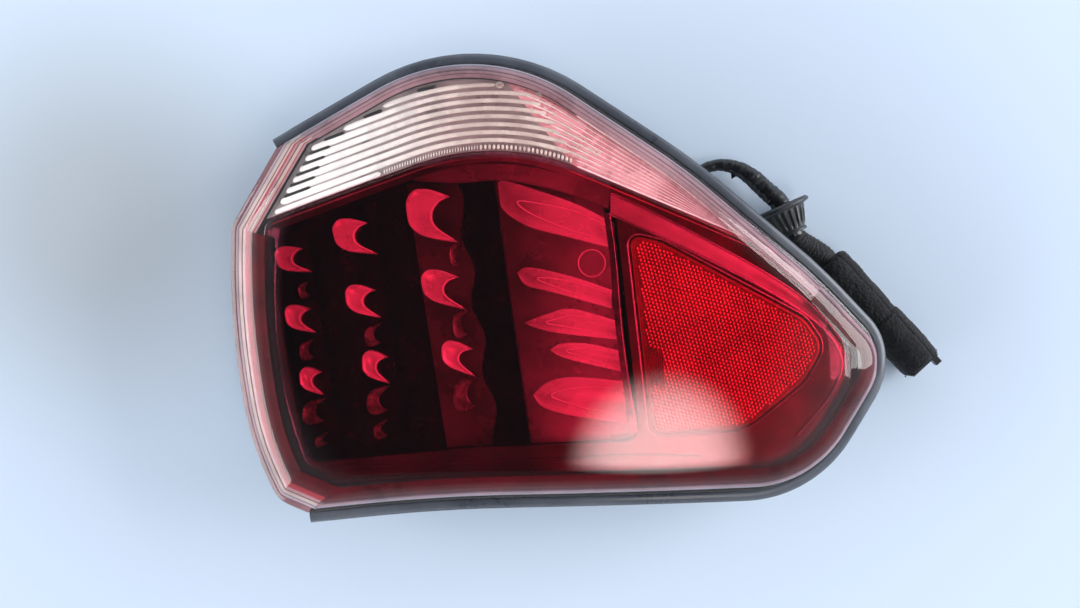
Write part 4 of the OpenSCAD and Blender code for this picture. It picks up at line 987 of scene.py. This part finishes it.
def glass_finish(name, colour, rough, index, shade, sheen=0.5):
    """Clear or tinted moulded plastic: it bends and mirrors what is seen, and lets lamps through."""
    finish, n, l, shader = new_finish(name)
    set_inputs(shader, {"Base Color": (*colour, 1), "Transmission Weight": 1, "IOR": index,
                        "Specular IOR Level": sheen})
    marks = add(n, "Group", {"Grain Scale": 500, "Cloud Scale": 60}, node_tree=surface_marks)
    haze = add(n, "MapRange", {"To Min": rough[0], "To Max": rough[1]})
    through_it = add(n, "BsdfTransparent", {"Color": (*shade, 1)})
    path = add(n, "LightPath")
    choose = add(n, "MixShader")
    join(l, (marks, "Cloud", haze, "Value"), (haze, "Result", shader, "Roughness"),
         (path, "Is Shadow Ray", choose, 0), (shader, 0, choose, 1), (through_it, 0, choose, 2),
         (choose, 0, n["Material Output"], "Surface"))
    return finish


amber_glass = glass_finish("amber_glass", (0.95, 0.45, 0.06), (0.01, 0.04), 1.5, (0.95, 0.6, 0.3))
bulb_glass = glass_finish("bulb_glass", (0.95, 0.97, 0.97), (0.01, 0.03), 1.5, (0.97, 0.97, 0.97))
refinish(amber_glass, "amber_glass", "turn_bulb")
refinish(bulb_glass, "bulb_glass", "reverse_bulb")

# The reflex reflector: a moulded red plate whose face is packed with tiny cube corners, each of
# three facets, with a polished border. A short comb of fine upright ribs stands at its lower left.
reflex_corners = [(37, 30, 5), (55, 26, 30), (138, -17, 20), (150, -33, 12), (138, -53, 25), (104, -80, 30),
                  (50, -83, 8)]
plate_section = [(-0.05, -13), (-0.05, -9), (-0.3, -8.2), (-0.8, -7.8), (-1.8, -7.75), (-2.2, -8.35)]
plate_drop, field_drop, pitch, corner_height = 8.35, 8.4, 2.25, 0.5
field_spot, field_tilt, field_rows = (92, -27), math.radians(-14), 75
comb_ribs, comb_gap = 8, 1.25
reflex_red = marked_finish("reflex_red", (0.34, 0.05, 0.06), (0.6, 0.13, 0.13), (0.1, 0.24), (900, 0.004),
                           cloud_scale=30, metallic=0.7)
reflex_ground = marked_finish("reflex_ground", (0.26, 0.025, 0.04), (0.4, 0.05, 0.07), (0.2, 0.35), (900, 0.01),
                              cloud_scale=40, metallic=0.4)


def grown(corners, out):
    return moved(corners, [out] * len(corners))


def inside(line, p):
    a, b = line, np.roll(line, -1, axis=0)
    cut = (a[:, 1] > p[1]) != (b[:, 1] > p[1])
    x = a[cut, 0] + (p[1] - a[cut, 1]) / (b[cut, 1] - a[cut, 1]) * (b[cut, 0] - a[cut, 0])
    return (x > p[0]).sum() % 2 == 1


plate = closed_line(grown(reflex_corners, -0.3))
reflex = new_piece("reflex_plate", *bowl(plate, plate_section, (0.8, 0.6, 0.4, 0.2, 0.05), plate_drop),
                   reflex_ground, "reflex_red", smooth=50)
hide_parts("reflex_reflector")
field = closed_line(grown(reflex_corners, -3.2))
low, high = field.min(axis=0), field.max(axis=0)
points, faces = [], []
for row in range(-field_rows, field_rows):
    for column in range(-field_rows, field_rows):
        x, y = (column + 0.5 * (row % 2)) * pitch, row * pitch * math.sqrt(3) / 2
        spot = np.array((field_spot[0] + x * math.cos(field_tilt) - y * math.sin(field_tilt),
                         field_spot[1] + x * math.sin(field_tilt) + y * math.cos(field_tilt)))
        if not (low < spot).all() or not (spot < high).all() or not inside(field, spot):
            continue
        first = len(points)
        for k in range(6):
            a = field_tilt + math.pi / 6 + k * math.pi / 3
            p = spot + pitch * 0.5 * np.array((math.cos(a), math.sin(a)))
            points.append((*p, dome_at(p) - field_drop + (0.3 if k % 2 else 0.02)))
        points.append((*spot, dome_at(spot) - field_drop + corner_height))
        faces += [(first + 6, first + k, first + (k + 1) % 6) for k in range(6)]
new_piece("cube_corners", points, faces, reflex_red, "reflex_red", smooth=5)
comb = [evenly(np.array([(47.2 + comb_gap * k, -31.5 - 0.4 * k), (48.8 + comb_gap * k, -54 - 0.4 * k)]), 1.5)
        for k in range(comb_ribs)]
new_piece("fine_comb", *joined(ribbon(line, bead_section(0.6, 0.5), below_dome(7.95), ends=1) for line in comb),
          reflex_ground, "reflex_red", smooth=60)
border = closed_line(grown(reflex_corners, 1.3), 1.6)
new_piece("reflex_border", *ribbon(border, bead_section(1.1, 0.75), below_dome(bezel_drop), closed=True),
          bead_chrome, "chrome", smooth=60)

# The ribbed optic behind the clear strip: a milky plate just under the outer lens, with rounded flutes
# that follow the red lens edge. Past their rounded ends it is rose-tinted, with fine ribs that draw
# together towards the tip. The metallised reflector of the strip lies below it.
contour_corners = [(-261, 4.7, 5), (-35, 84.4, 128), (111.5, 24, 60), (222, -73, 5), (222, -260, 5), (-261, -260, 5)]
contour_steps = steps_of(contour_corners, 12)
strip_width, strip_inset = 12, 3.3
tail_end, edge_gap, optic_drop, optic_foot = 150, 0.9, 6.0, 9
plate_points, tail_points = 120, 100
strip_chrome = marked_finish("strip_chrome", (0.80, 0.79, 0.77), (0.93, 0.92, 0.9), (0.14, 0.26), (1300, 0.008),
                             cloud_scale=60, metallic=1.0)
# Lighter at the left and darker and pinker towards the right: painted light and shade.
optic_ground_and_shade = marked_finish("optic_ground_and_shade", (0.26, 0.23, 0.23), (0.44, 0.38, 0.38), (0.25, 0.4), (1100, 0.01),
                             cloud_scale=45, metallic=0.2,
                             right=((0.2, 0.12, 0.125), (0.34, 0.22, 0.22), -0.12, -0.05))
rose_finish = marked_finish("rose_tail", (0.66, 0.2, 0.23), (0.9, 0.38, 0.42), (0.2, 0.34), (1100, 0.01),
                            cloud_scale=50, metallic=0.2, right=((0.32, 0.03, 0.06), (0.5, 0.07, 0.11), 0.04, 0.13))
refinish(strip_chrome, "chrome", "strip_reflector")
strip_edge = lens_line(strip_width, strip_inset)
upper_edge = stretch(strip_edge, (-175, 40), (150, -8))
upper_edge = upper_edge[np.argsort(upper_edge[:, 0])]
left_side = strip_edge[(strip_edge[:, 0] < -45) & (strip_edge[:, 1] > 10)]
left_side = left_side[np.argsort(left_side[:, 1])]


def top_at(x):
    return np.interp(x, *upper_edge.T)


def left_at(y):
    return np.interp(y, *left_side.T[::-1])


def contour_at(x, out):
    """Where the red lens's upper edge, moved out, lies at x."""
    line = outline(grown(contour_corners, out), contour_steps, splits_of(contour_corners, 10))[contour_steps[0]:]
    return np.interp(x, *line[: int(np.argmax(line[:, 0])) + 1].T)


def strip_row(x, share):
    """The place at x, a share of the way from the red lens to the upper edge of the strip."""
    low = contour_at(x, edge_gap)
    return np.column_stack([x, low + np.maximum(top_at(x) - low, 0.4) * share])


def strip_start(share):
    p = strip_row(np.linspace(-180, -60, 600), share)
    return p[np.argmax(p[:, 0] > left_at(p[:, 1]) - 0.02), 0]


def tail_start(share):
    return 6 - 36 * share


rows = []
for share, drop in ((0, optic_foot), *[(t, optic_drop) for t in np.linspace(0, 1, 30)], (1, optic_foot)):
    x = np.concatenate([np.linspace(strip_start(share), tail_start(share), plate_points),
                        np.linspace(tail_start(share), tail_end, tail_points + 1)[1:]])
    rows.append(under_dome(strip_row(x, share), drop))
faces = grid_faces(len(rows), plate_points + tail_points)
paint = [int(min(face) % (plate_points + tail_points) >= plate_points - 1) for face in faces]
plate = new_piece("optic_plate", np.vstack(rows), faces, optic_ground_and_shade, "clear_optic", smooth=60, more=(rose_finish,),
                  paint=paint)
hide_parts("ribbed_optic")

# Flutes of the optic, moulded with the plate, with near-black strips between their left ends as painted
# shade in the grooves, and fine raised ovals past their right ends.
flute_pitch, flute_first = 4.5, 6.8
flute_ends = [4.7, 3.1, 0.2, -3.1, -7.6, -10.5, -13.3, -17.8, -22.8, -30]
oval_long, oval_short, oval_gap, oval_sides = 2.1, 1.7, 4.9, 28
# The flutes too are painted darker and warmer towards the right, as painted shade.
optic_milk_and_shade = marked_finish("optic_milk_and_shade", (0.8, 0.77, 0.76), (0.95, 0.92, 0.91), (0.2, 0.34), (1300, 0.006),
                           cloud_scale=60, right=((0.5, 0.38, 0.35), (0.74, 0.58, 0.53), -0.13, -0.04))
# Near black: painted shade between the flutes.
optic_painted_shade = marked_finish("optic_painted_shade", (0.01, 0.01, 0.01), (0.03, 0.028, 0.028), (0.3, 0.45), (1100, 0.01))


def strip_ribs(name, lines, section, finish, ends=0.0, swell=None, closed=False):
    """Ribs along several lines of the optic as one piece."""
    new_piece(name, *joined(ribbon(line, section, below_dome(optic_drop), closed, ends, swell and swell(line))
                            for line in lines), finish, "clear_optic", smooth=60)


def strip_line(out, start, end, gap=1.1):
    """A line that keeps its distance from the red lens edge, where it lies on the strip."""
    x = np.linspace(start, end, 500)
    p = np.column_stack([x, contour_at(x, out)])
    p = p[(p[:, 1] < top_at(x) - 2.3) & (x > left_at(p[:, 1]) + 2.6)]
    return evenly(p, gap) if len(p) > 30 else None


flutes = [strip_line(flute_first + k * flute_pitch, -178, end) for k, end in enumerate(flute_ends)]
flutes = [line for line in flutes if line is not None]
strip_ribs("flutes", flutes, bead_section(4.0, 1.35), optic_milk_and_shade, 3.6,
           swell=lambda line: np.interp(line[:, 0], [-135, -95, -50], [1, 0.74, 0.6]))
slots = [strip_line(flute_first + (k + 0.5) * flute_pitch, -178, -60, 0.8) for k in range(len(flutes))]
strip_ribs("flute_groove_shade", [line[: 22 - k] for k, line in enumerate(slots) if line is not None],
           bead_section(2.3, 1.3), optic_painted_shade, 1.5)
ovals = []
around = angles(oval_sides)
for k, line in enumerate(flutes):
    way = line[-1] - line[-4]
    way = way / np.linalg.norm(way)
    oval = np.outer(np.cos(around) * oval_long, way) + np.outer(np.sin(around) * oval_short, left_of(way))
    for j in range(1 if k > 3 else 2 + (3 - k) % 3):
        ovals += [line[-1] + way * (2.3 + oval_gap * j) + grow * oval for grow in (1, 0.55)]
strip_ribs("flute_ovals", ovals, bead_section(0.55, 0.5), optic_milk_and_shade, closed=True)

# Along the red lens the plate has finer relief, moulded in too: a plain white band at the left, fine
# ticks, then teeth up to the tail.
strip_ribs("edge_band", [strip_line(2.6, -178, -101)], bead_section(3.0, 1.2), optic_milk_and_shade, 2)


def cross_bars(start, end, gap, low, high):
    """Short bars from start to end, between two distances from the red lens edge."""
    x = np.linspace(start, end, 300)
    line = evenly(np.column_stack([x, contour_at(x, low)]), gap)
    away = np.column_stack([line[:, 0], contour_at(line[:, 0], high)])
    return [np.linspace(a, b, 5) for a, b in zip(line, away)]


strip_ribs("edge_ticks", cross_bars(-99, -47, 1.5, 1.6, 4.2), bead_section(0.7, 0.7), optic_milk_and_shade, 1)
strip_ribs("edge_teeth", cross_bars(-45, 5, 2.4, 1.5, 4.4), bead_section(1.5, 1.1), optic_milk_and_shade, 1)

# Long fine ribs of the tail, in rose-tinted plastic and moulded with the plate, and a plain bright one
# along both of its edges.
rose_light = marked_finish("rose_light", (0.9, 0.58, 0.6), (0.97, 0.76, 0.78), (0.2, 0.34), (1100, 0.01),
                           cloud_scale=90, metallic=0.1, right=((0.5, 0.1, 0.16), (0.75, 0.25, 0.3), 0.04, 0.13))
rng = np.random.default_rng(11)
lines = []
for share in np.linspace(0.06, 0.94, 17):
    x = np.linspace(tail_start(share) + rng.uniform(2, 9), tail_end - rng.uniform(0, 30), 300)
    lines.append(evenly(strip_row(x, share), 1.3))


def tail_swell(full_height, least):
    """Ribs shrink as the strip narrows, from where it is full_height high."""
    return lambda line: np.clip((top_at(line[:, 0]) - contour_at(line[:, 0], 2.4)) / full_height, least, 1)


strip_ribs("tail_ribs", lines[::2], bead_section(2.2, 0.9), rose_finish, 3, tail_swell(46, 0.2))
strip_ribs("tail_streaks", lines[1::2], bead_section(1.1, 0.7), rose_light, 3, tail_swell(40, 0.25))
strip_ribs("tail_edges", [evenly(strip_row(np.linspace(8, 149, 300), share), 1.3) for share in (0.0, 1.0)],
           bead_section(1.2, 0.9), rose_light, 2, lambda line: np.interp(line[:, 0], [8, 110, 149], [1, 0.7, 0.35]))

# The red lens: one red moulding with a rounded edge, which stands on the bezel just below the outer
# lens and covers everything but the clear strip.
red_corners = [
    (-168, 37.5, 8), (-35, 84.4, 128), (111.5, 24, 60), (165, -23, 28), (167, -64, 35), (134, -106, 40),
    (-74, -106, 900), (-137, -112, 5), (-153, -104, 12), (-168.5, -52, 180), (-171, -1, 300),
]
red_steps, red_splits = steps_of(red_corners, 18), splits_of(red_corners, 9)
red_face, red_back, red_crown = 4.8, 7.3, np.array((-10, -15))
face_shares = (0.93, 0.84, 0.74, 0.64, 0.54, 0.44, 0.34, 0.24, 0.14, 0.04)
red_plastic = glass_finish("red_lens", (0.92, 0.13, 0.25), (0.01, 0.03), 1.49, (0.96, 0.4, 0.5), sheen=0.25)


def red_line(inset):
    return outline(grown(red_corners, -inset), red_steps, red_splits)


def shell(rings):
    """A skin over rings of points, with the first and the last one filled."""
    count = len(rings[0])
    faces = grid_faces(len(rings), count, wrap_columns=True)
    return np.vstack(rings), [*faces, tuple(range(count - 1, -1, -1)),
                              tuple(range((len(rings) - 1) * count, len(rings) * count))]


# Distance inside the outline and drop below the outer lens, over the edge and under it.
red_edge = [(1.5, red_face), (0.7, 4.95), (0.2, 5.4), (0, 6.1), (0, 8.95), (2.4, 8.95), (2.6, 8.0), (3.4, 7.35)]
rings = [*shrunk(red_line(1.5), red_crown, face_shares[::-1], red_face),
         *[under_dome(red_line(inset), drop) for inset, drop in red_edge],
         *shrunk(red_line(3.4), red_crown, face_shares, red_back)]
red = new_piece("red_cover", *shell(rings), red_plastic, "red_lens", smooth=35)
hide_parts("red_lens")

# The outer lens: one clear moulding with a rounded shoulder, which wraps down the side of the car. Its
# foot is bonded into the seal bead on the housing rim. Its thick wall shows bent views of the edges
# inside; these are painted views, drawn as opaque bands on its inner face: pale and red at the side, mauve
# elsewhere.
band_looks = {
    "painted_view_blush": ((0.2, 0.1, 0.115), (0.36, 0.2, 0.225)),
    "painted_view_wine": ((0.04, 0.001, 0.003), (0.09, 0.002, 0.006)),
    "painted_view_cream": ((0.26, 0.19, 0.165), (0.46, 0.36, 0.33)),
    "painted_view_dark": ((0.012, 0.01, 0.01), (0.03, 0.022, 0.022)),
    "painted_view_red": ((0.18, 0.006, 0.015), (0.34, 0.018, 0.035)),
    "painted_view_mauve": ((0.05, 0.02, 0.028), (0.12, 0.055, 0.07)),
}
band_finishes = [marked_finish(name, dark, light, (0.25, 0.4), (1100, 0.001), cloud_scale=35, specular=0.1)
                 for name, (dark, light) in band_looks.items()]
clear, blush, wine, cream, dark, red_band, mauve = range(len(band_looks) + 1)
# Each band ends at a share of the shoulder's width, counted from the foot.
side_bands = [(0.225, blush), (0.25, wine), (0.33, cream), (0.35, wine), (0.4, blush), (0.42, dark), (0.48, cream),
              (0.5, wine), (0.56, blush), (0.66, red_band), (2, wine)]
strip_side_bands = [*side_bands[:8], (0.55, cream), (0.575, red_band), (0.63, blush), (0.65, wine), (0.71, cream),
                    (0.735, red_band), (0.79, blush), (2, clear)]
upper_bands = [(0.24, dark), (0.36, mauve), (0.42, blush), (0.46, mauve), (0.54, blush), (0.58, mauve),
               (0.68, blush), (0.7, mauve), (0.83, blush), (2, clear)]
lower_bands = [(0.24, dark), (0.3, mauve), (0.36, blush), (0.4, mauve), (0.48, blush), (0.52, mauve), (2, wine)]
shoulder, lens_wall, foot_width, seal_gap = 15, 2.8, 6.2, 0.15
lens_crown = np.array(dome_crown, float)
# Share of the shoulder's width and of the height from rim to dome.
shoulder_points = [(0.2, 0.09), (0.235, 0.3), (0.287, 0.5), (0.387, 0.76), (0.533, 0.9), (0.733, 0.97), (1, 1)]
shoulder_curve, inner_curve = curve(shoulder_points, 15), curve(shoulder_points, 61)[1:]
clear_plastic = glass_finish("clear_lens", (0.985, 0.97, 0.972), (0.004, 0.02), 1.49, (0.985, 0.98, 0.98), sheen=0.2)


def lens_ring(width, extra, share, drop):
    p = lens_line(width, extra)
    return np.column_stack([p, (rim_at(p) + seal_gap) * (1 - share) + dome_at(p) * share - drop])


outer_foot = [lens_ring(0.1 * shoulder, 0, 0.078, 0), lens_ring(0.35, 0, 0.07, 0), lens_ring(0, 0, 0.06, 0),
              lens_ring(0, 0, 0.004, 0), lens_ring(0.2, 0, 0, 0),
              lens_ring(0.2 * shoulder, foot_width - 0.2 * shoulder, 0, 0)]
outer_face = shrunk(lens_line(shoulder), lens_crown, face_shares[::-1], 0)
rings = [*outer_face, *[lens_ring(w * shoulder, 0, s, 0) for w, s in shoulder_curve[::-1]], *outer_foot,
         *[lens_ring(w * shoulder, lens_wall, s, lens_wall) for w, s in inner_curve],
         *shrunk(lens_line(shoulder, lens_wall), lens_crown, face_shares, lens_wall)]
points, faces = shell(rings)
foot = len(outer_face) + len(shoulder_curve) + len(outer_foot) - 2
x, y = rings[foot][:, :2].T
sides = [(x < -162) & (y > 34), (x < -150) & (y < 84), (y > -20) & (x < 150)]
paint = np.zeros(len(faces), dtype=int)
for k, w in enumerate([0.2, 0.22, *inner_curve[:-1, 0]], start=foot):
    *looks, lower = [next(look for limit, look in bands if w < limit)
                     for bands in (strip_side_bands, side_bands, upper_bands, lower_bands)]
    paint[k * len(x) : (k + 1) * len(x)] = np.select(sides, looks, lower)
lens = new_piece("outer_lens_moulding", points, faces, clear_plastic, "clear_lens", smooth=35, more=band_finishes,
                 paint=paint)
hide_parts("outer_lens")
seal_bead = marked_finish("seal_bead", (0.012, 0.012, 0.013), (0.028, 0.028, 0.03), (0.35, 0.5), (1200, 0.03))
refinish(seal_bead, "seal_rubber", "lens_seal")
